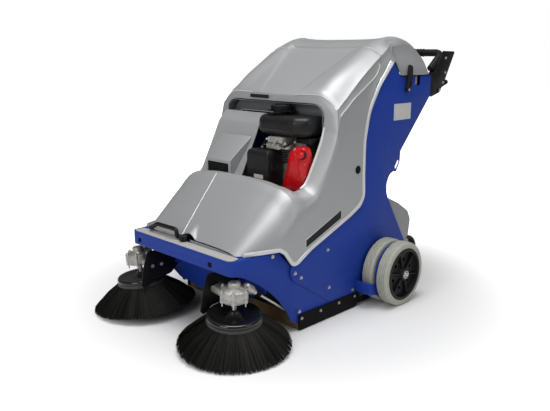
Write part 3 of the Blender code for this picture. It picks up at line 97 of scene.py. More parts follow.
end = nodes.new("ShaderNodeOutputMaterial")
links.new(both.outputs[0], end.inputs["Surface"])
floor.data.materials.append(paper)

world = bpy.data.worlds.new("surround")
bpy.context.scene.world = world
world.use_nodes = True
nodes, links = world.node_tree.nodes, world.node_tree.links
nodes.clear()
coords = nodes.new("ShaderNodeTexCoord")
split = nodes.new("ShaderNodeSeparateXYZ")
links.new(coords.outputs["Generated"], split.inputs[0])
ramp = nodes.new("ShaderNodeValToRGB")
ramp.color_ramp.elements[0].position = 0.0
ramp.color_ramp.elements[0].color = (0.30, 0.30, 0.30, 1.0)
ramp.color_ramp.elements[1].position = 0.75
ramp.color_ramp.elements[1].color = (0.95, 0.95, 0.95, 1.0)
links.new(split.outputs["Z"], ramp.inputs[0])
room = nodes.new("ShaderNodeBackground")
room.inputs["Strength"].default_value = 0.60
links.new(ramp.outputs[0], room.inputs["Color"])
white = nodes.new("ShaderNodeBackground")
white.inputs["Color"].default_value = (1.0, 1.0, 1.0, 1.0)
white.inputs["Strength"].default_value = 1.0
path = nodes.new("ShaderNodeLightPath")
dim = nodes.new("ShaderNodeBackground")
dim.inputs["Strength"].default_value = 0.20
links.new(ramp.outputs[0], dim.inputs["Color"])
mirror = nodes.new("ShaderNodeMixShader")
links.new(path.outputs["Is Glossy Ray"], mirror.inputs[0])
links.new(room.outputs[0], mirror.inputs[1])
links.new(dim.outputs[0], mirror.inputs[2])
choose = nodes.new("ShaderNodeMixShader")
links.new(path.outputs["Is Camera Ray"], choose.inputs[0])
links.new(mirror.outputs[0], choose.inputs[1])
links.new(white.outputs[0], choose.inputs[2])
end = nodes.new("ShaderNodeOutputWorld")
links.new(choose.outputs[0], end.inputs["Surface"])


def lamp(name, place, aim, size, power):
    """A square soft lamp that faces the aim."""
    light = bpy.data.lights.new(name, "AREA")
    light.size = size
    light.energy = power
    holder = bpy.data.objects.new(name, light)
    holder.location = place
    holder.rotation_euler = (Vector(aim) - Vector(place)).to_track_quat("-Z", "Y").to_euler()
    bpy.context.scene.collection.objects.link(holder)


lamp("lamp_over", (0.4, -0.5, 3.4), (0.0, 0.0, 0.4), 1.9, 72.0)
lamp("lamp_front", (0.6, -3.6, 1.9), (0.0, 0.0, 0.4), 1.6, 28.0)
lamp("lamp_left", (3.4, 0.4, 2.0), (0.0, 0.0, 0.5), 1.6, 11.0)


# Silver moulding. Thick plastic sheet sprayed with a fine metallic silver,
# drawn as one skin over the engine with its wall turned inwards.
def only(piece):
    """Selects one piece and nothing else."""
    bpy.ops.object.select_all(action="DESELECT")
    piece.select_set(True)
    bpy.context.view_layer.objects.active = piece
    return piece


def grain(name, colour, other, rough, spread, metallic, size, bump_size, bump, coat=0.0, depth=0.0006,
          shine=0.5):
    """A finish whose colour and gloss vary between two values, with a fine relief."""
    mat = bpy.data.materials.new(name)
    mat.use_nodes = True
    tree = mat.node_tree
    shader = tree.nodes["Principled BSDF"]
    shader.inputs["Metallic"].default_value = metallic
    shader.inputs["Specular IOR Level"].default_value = shine
    shader.inputs["Coat Weight"].default_value = coat
    shader.inputs["Coat Roughness"].default_value = 0.12
    where = tree.nodes.new("ShaderNodeTexCoord")
    cloud = tree.nodes.new("ShaderNodeTexNoise")
    cloud.inputs["Scale"].default_value = size
    cloud.inputs["Detail"].default_value = 6.0
    cloud.inputs["Roughness"].default_value = 0.6
    tree.links.new(where.outputs["Object"], cloud.inputs["Vector"])
    tint = tree.nodes.new("ShaderNodeValToRGB")
    tint.color_ramp.elements[0].position = 0.32
    tint.color_ramp.elements[0].color = (*other, 1.0)
    tint.color_ramp.elements[1].position = 0.68
    tint.color_ramp.elements[1].color = (*colour, 1.0)
    tree.links.new(cloud.outputs["Fac"], tint.inputs[0])
    tree.links.new(tint.outputs[0], shader.inputs["Base Color"])
    gloss = tree.nodes.new("ShaderNodeMapRange")
    gloss.inputs["To Min"].default_value = rough - spread
    gloss.inputs["To Max"].default_value = rough + spread
    tree.links.new(cloud.outputs["Fac"], gloss.inputs["Value"])
    tree.links.new(gloss.outputs[0], shader.inputs["Roughness"])
    fine = tree.nodes.new("ShaderNodeTexNoise")
    fine.inputs["Scale"].default_value = bump_size
    fine.inputs["Detail"].default_value = 3.0
    tree.links.new(where.outputs["Object"], fine.inputs["Vector"])
    relief = tree.nodes.new("ShaderNodeBump")
    relief.inputs["Strength"].default_value = bump
    relief.inputs["Distance"].default_value = depth
    tree.links.new(fine.outputs["Fac"], relief.inputs["Height"])
    tree.links.new(relief.outputs[0], shader.inputs["Normal"])
    return mat


silver = grain("silver_lacquer", (0.405, 0.412, 0.417), (0.366, 0.373, 0.378), 0.44, 0.04, 0.42,
               900.0, 1400.0, 0.10, coat=0.10, depth=0.0002)
blue = grain("blue_powder_coat", (0.011, 0.046, 0.330), (0.008, 0.035, 0.265), 0.50, 0.05, 0.0,
             700.0, 1100.0, 0.30, depth=0.0003, shine=0.22)
black_paint = grain("black_paint", (0.0080, 0.0080, 0.0085), (0.0050, 0.0050, 0.0055), 0.40, 0.06, 0.0,
                    60.0, 900.0, 0.20, depth=0.0003, shine=0.30)
black_plastic = grain("black_plastic", (0.0120, 0.0120, 0.0125), (0.0075, 0.0075, 0.0080), 0.52, 0.06, 0.0,
                      80.0, 1500.0, 0.35, depth=0.0003, shine=0.25)
tyre_grey = grain("grey_tyre", (0.410, 0.415, 0.360), (0.350, 0.355, 0.305), 0.66, 0.06, 0.0,
                  45.0, 500.0, 0.15, shine=0.35)
rubber = grain("black_rubber", (0.0080, 0.0080, 0.0078), (0.0048, 0.0048, 0.0046), 0.80, 0.06, 0.0,
               40.0, 600.0, 0.30, shine=0.12)
brown_rubber = grain("brown_rubber", (0.235, 0.150, 0.075), (0.165, 0.100, 0.045), 0.75, 0.06, 0.0,
                     30.0, 500.0, 0.25)
cast = grain("cast_alloy", (0.560, 0.550, 0.520), (0.400, 0.390, 0.365), 0.48, 0.08, 0.85,
             120.0, 350.0, 0.55, depth=0.0010)
red = grain("red_enamel", (0.600, 0.008, 0.012), (0.480, 0.005, 0.008), 0.22, 0.05, 0.0,
            40.0, 200.0, 0.10, coat=0.35, shine=0.3)
zinc = grain("zinc_plate", (0.640, 0.630, 0.590), (0.500, 0.490, 0.450), 0.34, 0.08, 0.95,
             150.0, 700.0, 0.20)
grey_plastic = grain("grey_plastic", (0.300, 0.310, 0.320), (0.245, 0.255, 0.265), 0.50, 0.06, 0.0,
                     60.0, 1200.0, 0.30, depth=0.0003)
pad_grey = grain("grip_pad", (0.400, 0.398, 0.385), (0.330, 0.328, 0.315), 0.82, 0.05, 0.0,
                 200.0, 900.0, 0.50)
nylon = grain("nylon_bristle", (0.040, 0.040, 0.038), (0.012, 0.012, 0.012), 0.48, 0.08, 0.0,
              60.0, 500.0, 0.20)

FINISH = {"silver_moulding": silver, "blue_powder_coat": blue, "black_steel": black_paint,
          "black_plastic": black_plastic, "tyre_grey": tyre_grey, "black_rubber": rubber,
          "brown_rubber": brown_rubber, "cast_alloy": cast, "red_enamel": red,
          "nylon_bristle": nylon, "zinc_steel": zinc, "grey_plastic": grey_plastic,
          "grip_pad": pad_grey}
slot_of = {row["node"]: row["material_slot"] for row in frame["record"]["subparts"]}
body_of = {node: body for body, held in frame["record"]["behaviour"]["bodies"].items()
           for node in held}
for node, obj in frame["nodes"].items():
    obj.data.materials.clear()
    obj.data.materials.append(FINISH[slot_of[node]])


def place(name, mesh, mat, body, angle=35.0):
    """Puts a mesh that is drawn from the rear axle line into the frame, on its body."""
    mesh.name = name
    mesh.transform(Matrix.Translation((0.0, AXLE_Y, 0.0)))
    mesh.materials.clear()
    mesh.materials.append(mat)
    piece = bpy.data.objects.new(name, mesh)
    bpy.context.scene.collection.objects.link(piece)
    only(piece)
    bpy.ops.object.shade_smooth_by_angle(angle=math.radians(angle))
    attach(piece, body)
    return piece


def raw(name, verts, faces, edges=()):
    """A loose object of plain geometry, to be shaped further."""
    mesh = bpy.data.meshes.new(name)
    mesh.from_pydata([tuple(v) for v in verts], list(edges), list(faces))
    piece = bpy.data.objects.new(name, mesh)
    bpy.context.scene.collection.objects.link(piece)
    return only(piece)


def taken(piece):
    """The finished mesh of a loose object, whose object is removed."""
    mesh = piece.data
    bpy.data.objects.remove(piece)
    return mesh


def outward(piece):
    """Points all faces of a closed piece out."""
    only(piece)
    bpy.ops.object.mode_set(mode="EDIT")
    bpy.ops.mesh.select_all(action="SELECT")
    bpy.ops.mesh.normals_make_consistent(inside=False)
    bpy.ops.object.mode_set(mode="OBJECT")
    return piece


def applied(piece, kind, **settings):
    """Adds a modifier with its settings and applies it."""
    only(piece)
    step = piece.modifiers.new(kind.lower(), kind)
    for key, value in settings.items():
        setattr(step, key, value)
    bpy.ops.object.modifier_apply(modifier=step.name)
    return piece


def cut(piece, cutter, operation="DIFFERENCE"):
    """Cuts, joins or keeps a piece with another, which is used up."""
    applied(piece, "BOOLEAN", operation=operation, solver="MANIFOLD", object=cutter)
    bpy.data.objects.remove(cutter)
    return piece


def rounded(points, radius, segments=8, closed=True):
    """A path whose corners are arcs of the given radius, one value or one per corner."""
    points = [Vector(p) for p in points]
    radii = radius if isinstance(radius, (list, tuple)) else [radius] * len(points)
    path = []
    for i, corner in enumerate(points):
        before = points[i - 1] - corner
        after = points[(i + 1) % len(points)] - corner
        ends = not closed and i in (0, len(points) - 1)
        angle = math.pi if ends else before.angle(after)
        if radii[i] <= 0.0 or angle > math.radians(178):
            path.append(corner)
            continue
        reach = min(radii[i] / math.tan(angle / 2), 0.49 * before.length, 0.49 * after.length)
        arc = reach * math.tan(angle / 2)
        middle = corner + (before.normalized() + after.normalized()).normalized() * (
            arc / math.sin(angle / 2))
        start = corner + before.normalized() * reach - middle
        end = corner + after.normalized() * reach - middle
        sweep = start.angle(end)
        for k in range(segments + 1):
            t = k / segments
            path.append(middle + start * (math.sin((1 - t) * sweep) / math.sin(sweep))
                        + end * (math.sin(t * sweep) / math.sin(sweep)))
    return path


PLANES = {"xy": Matrix.Identity(3), "xz": Matrix(((1, 0, 0), (0, 0, 1), (0, 1, 0))),
          "yz": Matrix(((0, 0, 1), (1, 0, 0), (0, 1, 0)))}


def slab(name, outline, start, end, plane="yz", holes=()):
    """A flat outline with its holes, filled and drawn out from start to end along its normal."""
    turn = PLANES[plane]
    verts, edges = [], []
    for loop in (outline, *holes):
        first = len(verts)
        verts += [turn @ Vector((p[0], p[1], start)) for p in loop]
        edges += [(first + i, first + (i + 1) % len(loop)) for i in range(len(loop))]
    piece = raw(name, verts, [], edges)
    bpy.ops.object.mode_set(mode="EDIT")
    bpy.ops.mesh.select_all(action="SELECT")
    if holes:
        bpy.ops.mesh.fill(use_beauty=True)
    else:
        bpy.ops.mesh.edge_face_add()
    bpy.ops.mesh.extrude_region_move(
        TRANSFORM_OT_translate={"value": tuple(turn @ Vector((0.0, 0.0, end - start)))})
    bpy.ops.mesh.select_all(action="SELECT")
    bpy.ops.mesh.normals_make_consistent(inside=False)
    bpy.ops.object.mode_set(mode="OBJECT")
    return piece


def circle(centre, radius, count):
    """Points round a circle in an outline's plane."""
    return [(centre[0] + radius * math.cos(2 * math.pi * i / count),
             centre[1] + radius * math.sin(2 * math.pi * i / count)) for i in range(count)]


def bar(name, path, radius, mat, body, sides, closed=False):
    """A round bar along a path, with closed ends."""
    curve = bpy.data.curves.new(name, "CURVE")
    curve.dimensions = "3D"
    curve.bevel_depth = radius
    curve.bevel_resolution = max(sides // 4 - 1, 0)
    curve.use_fill_caps = not closed
    spline = curve.splines.new("POLY")
    spline.points.add(len(path) - 1)
    for point, co in zip(spline.points, path):
        point.co = (*co, 1.0)
    spline.use_cyclic_u = closed
    piece = bpy.data.objects.new(name, curve)
    bpy.context.scene.collection.objects.link(piece)
    only(piece)
    bpy.ops.object.convert(target="MESH")
    piece = bpy.context.object
    applied(piece, "WELD", merge_threshold=0.00005)
    return place(name, taken(outward(piece)), mat, body, 50.0)


def flow(table):
    """Reads between the pairs of a table along a smooth line that doesn't overshoot."""
    ys = [row[0] for row in table]
    vs = [row[1] for row in table]
    slope = [(vs[i + 1] - vs[i]) / (ys[i + 1] - ys[i]) for i in range(len(ys) - 1)]
    ends = [slope[0]]
    for a, b in zip(slope, slope[1:]):
        ends.append(0.0 if a * b <= 0.0 else 2 * a * b / (a + b))
    ends.append(slope[-1])

    def read(y):
        y = min(max(y, ys[0]), ys[-1])
        i = max(k for k in range(len(ys) - 1) if ys[k] <= y or k == 0)
        h = ys[i + 1] - ys[i]
        t = (y - ys[i]) / h
        return (vs[i] * (1 + 2 * t) * (1 - t) ** 2 + ends[i] * h * t * (1 - t) ** 2
                + vs[i + 1] * t * t * (3 - 2 * t) + ends[i + 1] * h * t * t * (t - 1))
    return read


def ease(value):
    """Rises from 0 to 1 as the value does, level at both ends."""
    t = min(max(value, 0.0), 1.0)
    return t * t * (3 - 2 * t)


rise = flow([(-0.700, 0.3165), (-0.600, 0.4007), (-0.530, 0.4597), (-0.477, 0.5030), (-0.462, 0.5075),
             (-0.444, 0.4975), (-0.415, 0.5010), (-0.395, 0.5180), (-0.358, 0.5790), (-0.331, 0.6270),
             (-0.307, 0.6860), (-0.299, 0.7400), (-0.294, 0.7840), (-0.286, 0.8120), (-0.255, 0.8350),
             (-0.150, 0.8970), (-0.050, 0.9520), (0.020, 0.9880), (0.080, 1.0110),
             (0.135, 1.0190), (0.180, 1.0110), (0.225, 0.9850), (0.262, 0.9480),
             (0.288, 0.9100), (0.303, 0.8780)])
crown = flow([(-0.700, 0.004), (-0.475, 0.012), (-0.415, 0.010), (-0.300, 0.0), (-0.200, -0.006),
              (0.080, -0.012), (0.225, -0.004), (0.303, 0.0)])
fallback = flow([(-0.475, 0.0), (-0.400, 0.020), (-0.280, 0.022), (-0.150, 0.0), (0.303, 0.0)])
side_at = flow([(-0.700, 0.2700), (-0.600, 0.3020), (-0.530, 0.3205), (0.303, 0.3205)])
bend_at = flow([(-0.700, 0.196), (-0.475, 0.205), (-0.300, 0.212), (0.030, 0.212), (0.090, 0.226),
                (0.303, 0.230)])
corner_at = flow([(-0.700, 0.256), (-0.475, 0.280), (-0.300, 0.288), (0.030, 0.288), (0.090, 0.272),
                  (0.303, 0.272)])
edge_x = flow([(-0.700, 0.2700), (-0.600, 0.3020), (-0.530, 0.3195), (-0.320, 0.3165),
               (-0.280, 0.3125), (0.030, 0.3050), (0.093, 0.2780), (0.200, 0.2860),
               (0.266, 0.3000), (0.303, 0.3120)])
edge_z = flow([(-0.700, 0.270), (-0.600, 0.318), (-0.530, 0.352), (-0.475, 0.405), (-0.400, 0.470),
               (-0.340, 0.590), (-0.300, 0.700), (-0.281, 0.7440), (-0.240, 0.7680), (-0.200, 0.7895),
               (-0.150, 0.8150), (-0.100, 0.8440), (-0.061, 0.8680), (-0.017, 0.9040),
               (0.029, 0.940), (0.093, 0.985), (0.180, 0.985), (0.266, 0.930), (0.303, 0.862)])
lip_at = flow([(-0.119, 0.640), (-0.097, 0.747), (-0.040, 0.838), (0.036, 0.918), (0.050, 0.926),
               (0.094, 0.873), (0.303, 0.873)])
crease_at = flow([(-0.320, 0.7250), (-0.2654, 0.7616), (-0.2138, 0.7987), (-0.1611, 0.8401),
                  (-0.1071, 0.8807), (-0.0232, 0.9357), (0.0524, 0.9824), (0.150, 1.0080)])
HOOD_FRONT_Y = -0.7000
HOOD_REAR_Y = 0.3030
HOOD_WALL = 0.0035
FOOT_Z = 0.2000
CAP_STEP = 0.0030
ROOF_STEP_Y = 0.0312
SLOPE_TOP_Y = -0.4700
CONE_START_Y = -0.6520
BOW_HALF = 0.2740
BROW_LINE_Y = -0.2870
CAP_LINE_Y = -0.0050
SIDES = ((1, "left"), (-1, "right"))


def bowed(x, y):
    """Where a point of a section stands, since each section bows back towards its sides."""
    return y + fallback(y) * (x / BOW_HALF) ** 2


def flare(y):
    """Height over which the side moves out to its full width, all of it above the lip."""
    return min(max(edge_z(y) - lip_at(y), 0.020), 0.110)


def ridge_x(y):
    """Where the raised line runs down the front slope."""
    return -0.1015 + 0.056 * (-0.475 - y) / 0.215


def hood_point_rise(x, y):
    """How far the top stands off its plain form: sunk panel, step and cone on the front slope."""
    lift = 0.0
    along = min(max(-y / 0.27, 0.0), 1.08)
    if y < ROOF_STEP_Y:
        left = -0.193 + 0.120 * along
        right = 0.176 - 0.029 * along
        inside = ease((x - left) / 0.004) * ease((right - x) / (0.006 + 0.030 * along))
        depth = 0.0075 - 0.0045 * along
        lift -= depth * inside * ease((ROOF_STEP_Y - y) / 0.0024) * ease((y + 0.300) / 0.010)
    if y < SLOPE_TOP_Y:
        step_x = ridge_x(y)
        lift += 0.0042 * ease((x - step_x) / 0.0035 + 0.5) * ease((SLOPE_TOP_Y - y) / 0.012)
    share = (CONE_START_Y - y) / 0.048
    if share > 0.0:
        half = 0.004 + 0.028 * share
        off = (x + 0.0086 - 0.0110 * share) / half
        if abs(off) < 1.0:
            lift += 0.019 * share * (1 - off * off) ** 0.7
    return lift


def hood_half(y, side):
    """Section of one side from the centre line down to the foot."""
    top, bend, corner = rise(y), bend_at(y), corner_at(y)
    out_x, out_z, wall = edge_x(y), edge_z(y), side_at(y)
    out_z = min(out_z, top - 0.012)
    sharp = ease((y + 0.300) / 0.010) * ease((0.150 - y) / 0.080)
    crease_x = out_x - 0.0110 * sharp
    crease_z = out_z + max(min(crease_at(y + 1.18 * fallback(y)), top - 0.010) - out_z, 0.0) * sharp
    capped = ease((y + 0.286) / 0.006) * ease((-0.003 - y) / 0.004)
    points = []
    for k in range(26):
        x = bend * k / 26
        z = top + crown(y) * (1 - (x / bend) ** 4) + hood_point_rise(side * x, y)
        points.append((x, z + CAP_STEP * capped * ease((x - 0.150) / 0.050)))
    a, d = Vector((bend, top)), Vector((crease_x, crease_z))
    b = Vector((corner + (bend + 0.040 - corner) * sharp, top))
    c = Vector((crease_x - 0.003 - 0.027 * sharp, crease_z + (0.45 - 0.05 * sharp) * (top - crease_z)))
    for k in range(14):
        t = k / 13
        p = a * (1 - t) ** 3 + b * 3 * t * (1 - t) ** 2 + c * 3 * t * t * (1 - t) + d * t ** 3
        tangent = ((b - a) * (1 - t) ** 2 + (c - b) * 2 * t * (1 - t) + (d - c) * t * t).normalized()
        p += Vector((-tangent.y, tangent.x)) * CAP_STEP * capped
        p.y += hood_point_rise(side * p.x, y) * (1 - t)
        points.append((p.x, p.y))
    for k in range(1, 5):
        t = k / 5
        x = crease_x + (out_x - 0.0030 * sharp - crease_x) * t
        points.append((x, crease_z + (out_z - crease_z) * t))
    span = out_z - FOOT_Z
    for k in range(1, 35):
        drop = min(0.0012, span * 0.01) * k if k < 3 else span * (0.02 + 0.98 * ((k - 2) / 32) ** 1.15)
        points.append((out_x + (wall - out_x) * ease(drop / flare(y)), out_z - drop))
    return points


def hood_stations():
    """Places along the hood where it is drawn, closer together where it turns sharply."""
    fine = {-0.475: 5, -0.415: 3, -0.296: 9, 0.028: 6}
    places = {round(HOOD_FRONT_Y + 0.008 * k, 4) for k in range(126)} | {HOOD_REAR_Y}
    for centre, count in fine.items():
        places |= {round(centre + 0.0013 * k, 4) for k in range(-count, count + 1)}
    kept = []
    for y in sorted(places):
        if HOOD_FRONT_Y <= y <= HOOD_REAR_Y and (not kept or y - kept[-1] > 0.0009):
            kept.append(y)
    return kept


rows = []
for y in hood_stations():
    row = [(-x, bowed(x, y), z) for x, z in reversed(hood_half(y, -1)[1:])]
    rows.append(row + [(x, bowed(x, y), z) for x, z in hood_half(y, 1)])
width = len(rows[0])
faces = [(i * width + j, i * width + j + 1, (i + 1) * width + j + 1, (i + 1) * width + j)
         for i in range(len(rows) - 1) for j in range(width - 1)]
hood = raw("hood_skin", [p for row in rows for p in row], faces)
applied(hood, "SOLIDIFY", thickness=HOOD_WALL, offset=-1.0)
LIP = [(-0.800, 0.3120), (-0.562, 0.3120), (-0.545, 0.3000), (-0.508, 0.2500), (-0.480, 0.2500),
       (-0.411, 0.2880), (-0.199, 0.3690), (-0.139, 0.3980), (-0.114, 0.4330), (-0.119, 0.5180),
       (-0.119, 0.6410), (-0.097, 0.7470), (-0.040, 0.8380), (0.036, 0.9180), (0.050, 0.9260),
       (0.094, 0.8730), (0.400, 0.8730)]
LIP_RADII = [0, 0.012, 0.012, 0.030, 0.030, 0.10, 0.10, 0.05, 0.06, 0.10, 0.20, 0.20, 0.20, 0.006,
             0.006, 0.004, 0]
lip_path = rounded(LIP, LIP_RADII, 8, closed=False)
cut(hood, slab("hood_trim", lip_path + [Vector((0.400, 0.0)), Vector((-0.800, 0.0))], -0.5, 0.5))
WINDOW_HALF = 0.2580
WINDOW_FRONT_Y = -0.4445
BROW_Z = 0.7820
BROW_CORNER = 0.0600
KNOB_AT = (-0.0180, -0.7080)
window = rounded([(-WINDOW_HALF, 0.45), (WINDOW_HALF, 0.45), (WINDOW_HALF, BROW_Z),
                  (-WINDOW_HALF, BROW_Z)], [0, 0, BROW_CORNER, BROW_CORNER], 10)
cut(hood, slab("hood_window", window, WINDOW_FRONT_Y, -0.235, "xz"))
cut(hood, slab("knob_notch", circle(KNOB_AT, 0.0245, 40), 0.28, 0.3365, "xy"))
hood = place("hood_moulding", taken(hood), silver, "hood", 38.0)
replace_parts(hood, "hood_shell")


# Fasteners. One hexagon head on its washer is modelled once, then copied to every bolt and
# scaled to its size.
def cube(name, low, high):
    """A cube added between two corners."""
    bpy.ops.object.select_all(action="DESELECT")
    bpy.ops.mesh.primitive_cube_add(size=1.0, location=[(a + b) / 2 for a, b in zip(low, high)],
                                    scale=[abs(b - a) for a, b in zip(low, high)])
    bpy.ops.object.transform_apply(location=True, rotation=True, scale=True)
    bpy.context.object.name = name
    return bpy.context.object


def pin(name, radius, start, end, sides):
    """A cylinder added between two points."""
    start, end = Vector(start), Vector(end)
    bpy.ops.object.select_all(action="DESELECT")
    bpy.ops.mesh.primitive_cone_add(vertices=sides, radius1=radius, radius2=radius,
                                    depth=(end - start).length, location=(start + end) / 2,
                                    rotation=(end - start).to_track_quat("Z", "Y").to_euler())
    bpy.ops.object.transform_apply(location=True, rotation=True, scale=True)
    bpy.context.object.name = name
    return bpy.context.object


def picked(piece, test, kind="FACE"):
    """Opens a piece in edit mode with the faces or edges that pass the test selected."""
    only(piece)
    bpy.ops.object.mode_set(mode="EDIT")
    bpy.ops.mesh.select_mode(type=kind)
    bpy.ops.mesh.select_all(action="DESELECT")
    mesh = bmesh.from_edit_mesh(piece.data)
    for part in (mesh.faces if kind == "FACE" else mesh.edges):
        part.select_set(bool(test(part)))
    bmesh.update_edit_mesh(piece.data)
    return piece


def shut(piece):
    """Leaves edit mode."""
    bpy.ops.object.mode_set(mode="OBJECT")
    return piece


def stepped(piece, test, *steps):
    """Insets the faces that pass the test and moves them, once for each (width, move)."""
    picked(piece, test)
    for width, move in steps:
        bpy.ops.mesh.inset(thickness=width)
        bpy.ops.transform.translate(value=move)
    return shut(piece)


def soften(piece, width, segments=2, angle=40.0):
    """Rounds every edge sharper than the angle."""
    return applied(piece, "BEVEL", width=width, segments=segments, limit_method="ANGLE",
                   angle_limit=math.radians(angle), use_clamp_overlap=True)


def joined(first, *others):
    """Makes several loose pieces one object."""
    only(first)
    for piece in others:
        piece.select_set(True)
    bpy.ops.object.join()
    return first


def spun(name, profile, stand, steps, closed=False):
    """A profile of (radius, height) pairs spun round an axis, at a place given as a matrix."""
    edges = [(i, i + 1) for i in range(len(profile) - 1)]
    if closed:
        edges.append((len(profile) - 1, 0))
    piece = raw(name, [(r, 0.0, z) for r, z in profile], [], edges)
    bpy.ops.object.mode_set(mode="EDIT")
    bpy.ops.mesh.select_all(action="SELECT")
    bpy.ops.mesh.spin(steps=steps, angle=2 * math.pi, center=(0.0, 0.0, 0.0), axis=(0.0, 0.0, 1.0))
    bpy.ops.mesh.select_all(action="SELECT")
    bpy.ops.mesh.remove_doubles(threshold=0.00002)
    bpy.ops.mesh.select_all(action="SELECT")
    bpy.ops.mesh.normals_make_consistent(inside=False)
    bpy.ops.object.mode_set(mode="OBJECT")
    piece.data.transform(stand)
    return piece


def block(name, low, high, width, mat, body, segments=2):
    """A cube between two corners with rounded edges, put in its place."""
    return place(name, taken(soften(cube(name, low, high), width, segments)), mat, body)


def turned(name, profile, stand, steps, mat, body, closed=False, angle=35.0):
    """A spun profile, put in its place."""
    return place(name, taken(spun(name, profile, stand, steps, closed)), mat, body, angle)


def stood(origin, axis):
    """Matrix that stands a piece drawn along Z at the origin, along the axis."""
    turn = Vector((0.0, 0.0, 1.0)).rotation_difference(Vector(axis).normalized())
    return Matrix.Translation(Vector(origin)) @ turn.to_matrix().to_4x4()


def fastener():
    """Hexagon head with a chamfered top on a round washer, one unit in radius."""
    head = pin("hexagon_head", 0.92, (0.0, 0.0, 0.16), (0.0, 0.0, 0.80), 6)
    stepped(head, lambda f: f.normal.z > 0.9, (0.10, (0.0, 0.0, 0.12)))
    washer = soften(pin("washer", 1.30, (0.0, 0.0, 0.0), (0.0, 0.0, 0.22), 20), 0.06, 1)
    return taken(joined(head, washer))


HEAD = fastener()


def bolts(name, body, spots, mat=None):
    """Copies of the head at the given (place, direction, radius), as one piece."""
    heads = []
    for centre, normal, radius in spots:
        mesh = HEAD.copy()
        mesh.transform(stood(centre, normal) @ Matrix.Scale(radius, 4))
        head = bpy.data.objects.new("head", mesh)
        bpy.context.scene.collection.objects.link(head)
        heads.append(head)
    return place(name, taken(joined(*heads)), mat or zinc, body, 30.0)


# Side brooms. Stiff black bristles fan out of a grey ring to a cone a little lower at the front,
# under a glossy dished hub.
BROOM_AT = Vector((0.2580, -0.7200, 0.0))
BROOM_LEAN = Vector((0.0872, -0.0597, 1.0))
BROOM_TIPS = 0.1946
BROOM_FOOT = 0.1980
BROOM_ROOTS = (0.0665, 0.0905)
BROOM_TOP = 0.0860
BRISTLES = 5200
BRISTLE_ROUNDS = 7


def broom_stand(side):
    """Place of a broom's own axis, whose origin lies in the plane of its bristle tips."""
    normal = Vector((side * BROOM_LEAN.x, BROOM_LEAN.y, 1.0)).normalized()
    low = BROOM_FOOT * math.sqrt(1 - normal.z ** 2) + 0.0005
    return stood((side * BROOM_AT.x, BROOM_AT.y, low), normal)


def streaked():
    """Black nylon whose bristles differ in tone, one from another."""
    mat = grain("streaked_bristle", (0.012, 0.012, 0.011), (0.005, 0.005, 0.005), 0.55, 0.10, 0.0,
                60.0, 500.0, 0.20, shine=0.12)
    tree = mat.node_tree
    shader = tree.nodes["Principled BSDF"]
    own = tree.nodes.new("ShaderNodeUVMap")
    own.uv_map = "bristle"
    lot = tree.nodes.new("ShaderNodeTexWhiteNoise")
    lot.noise_dimensions = "2D"
    part = tree.nodes.new("ShaderNodeSeparateXYZ")
    tree.links.new(own.outputs[0], part.inputs[0])
    alike = tree.nodes.new("ShaderNodeCombineXYZ")
    tree.links.new(part.outputs["X"], alike.inputs["X"])
    tree.links.new(alike.outputs[0], lot.inputs["Vector"])
    tone = tree.nodes.new("ShaderNodeValToRGB")
    tone.color_ramp.elements[0].position = 0.45
    tone.color_ramp.elements[0].color = (0.0040, 0.0040, 0.0038, 1.0)
    tone.color_ramp.elements[1].position = 1.0
    tone.color_ramp.elements[1].color = (0.0300, 0.0290, 0.0260, 1.0)
    tree.links.new(lot.outputs["Value"], tone.inputs[0])
    tree.links.new(tone.outputs[0], shader.inputs["Base Color"])
    return mat


bristle_black = streaked()
gloss_black = grain("gloss_black", (0.010, 0.010, 0.011), (0.006, 0.006, 0.006), 0.16, 0.06, 0.0,
                    40.0, 300.0, 0.08, coat=0.3, depth=0.0003)
ring_grey = grain("ring_grey", (0.052, 0.053, 0.053), (0.034, 0.035, 0.035), 0.50, 0.06, 0.0,
                  90.0, 900.0, 0.25, depth=0.0003)


def bristle_mesh(name, strands):
    """Three-sided strands, each a path of three points with a radius, and their own tone."""
    verts, faces, tones = [], [], []
    for path, radius, tone in strands:
        first = len(verts)
        along = (path[2] - path[0]).normalized()
        across = along.cross(Vector((0.31, 0.17, 0.93))).normalized()
        other = along.cross(across)
        for share, point in zip((1.0, 0.95, 0.75), path):
            for k in range(3):
                turn = 2 * math.pi * k / 3
                out = across * math.cos(turn) + other * math.sin(turn)
                verts.append(point + out * radius * share)
        for ring in (0, 3):
            for k in range(3):
                k1 = (k + 1) % 3
                low = first + ring
                faces.append((low + k, low + k1, low + 3 + k1, low + 3 + k))
        faces.append((first + 2, first + 1, first))
        faces.append((first + 6, first + 7, first + 8))
        tones += [tone] * 8
    piece = raw(name, verts, faces)
    layer = piece.data.uv_layers.new(name="bristle")
    for face, tone in zip(piece.data.polygons, tones):
        for corner in face.loop_indices:
            layer.data[corner].uv = (tone, 0.5)
    return piece


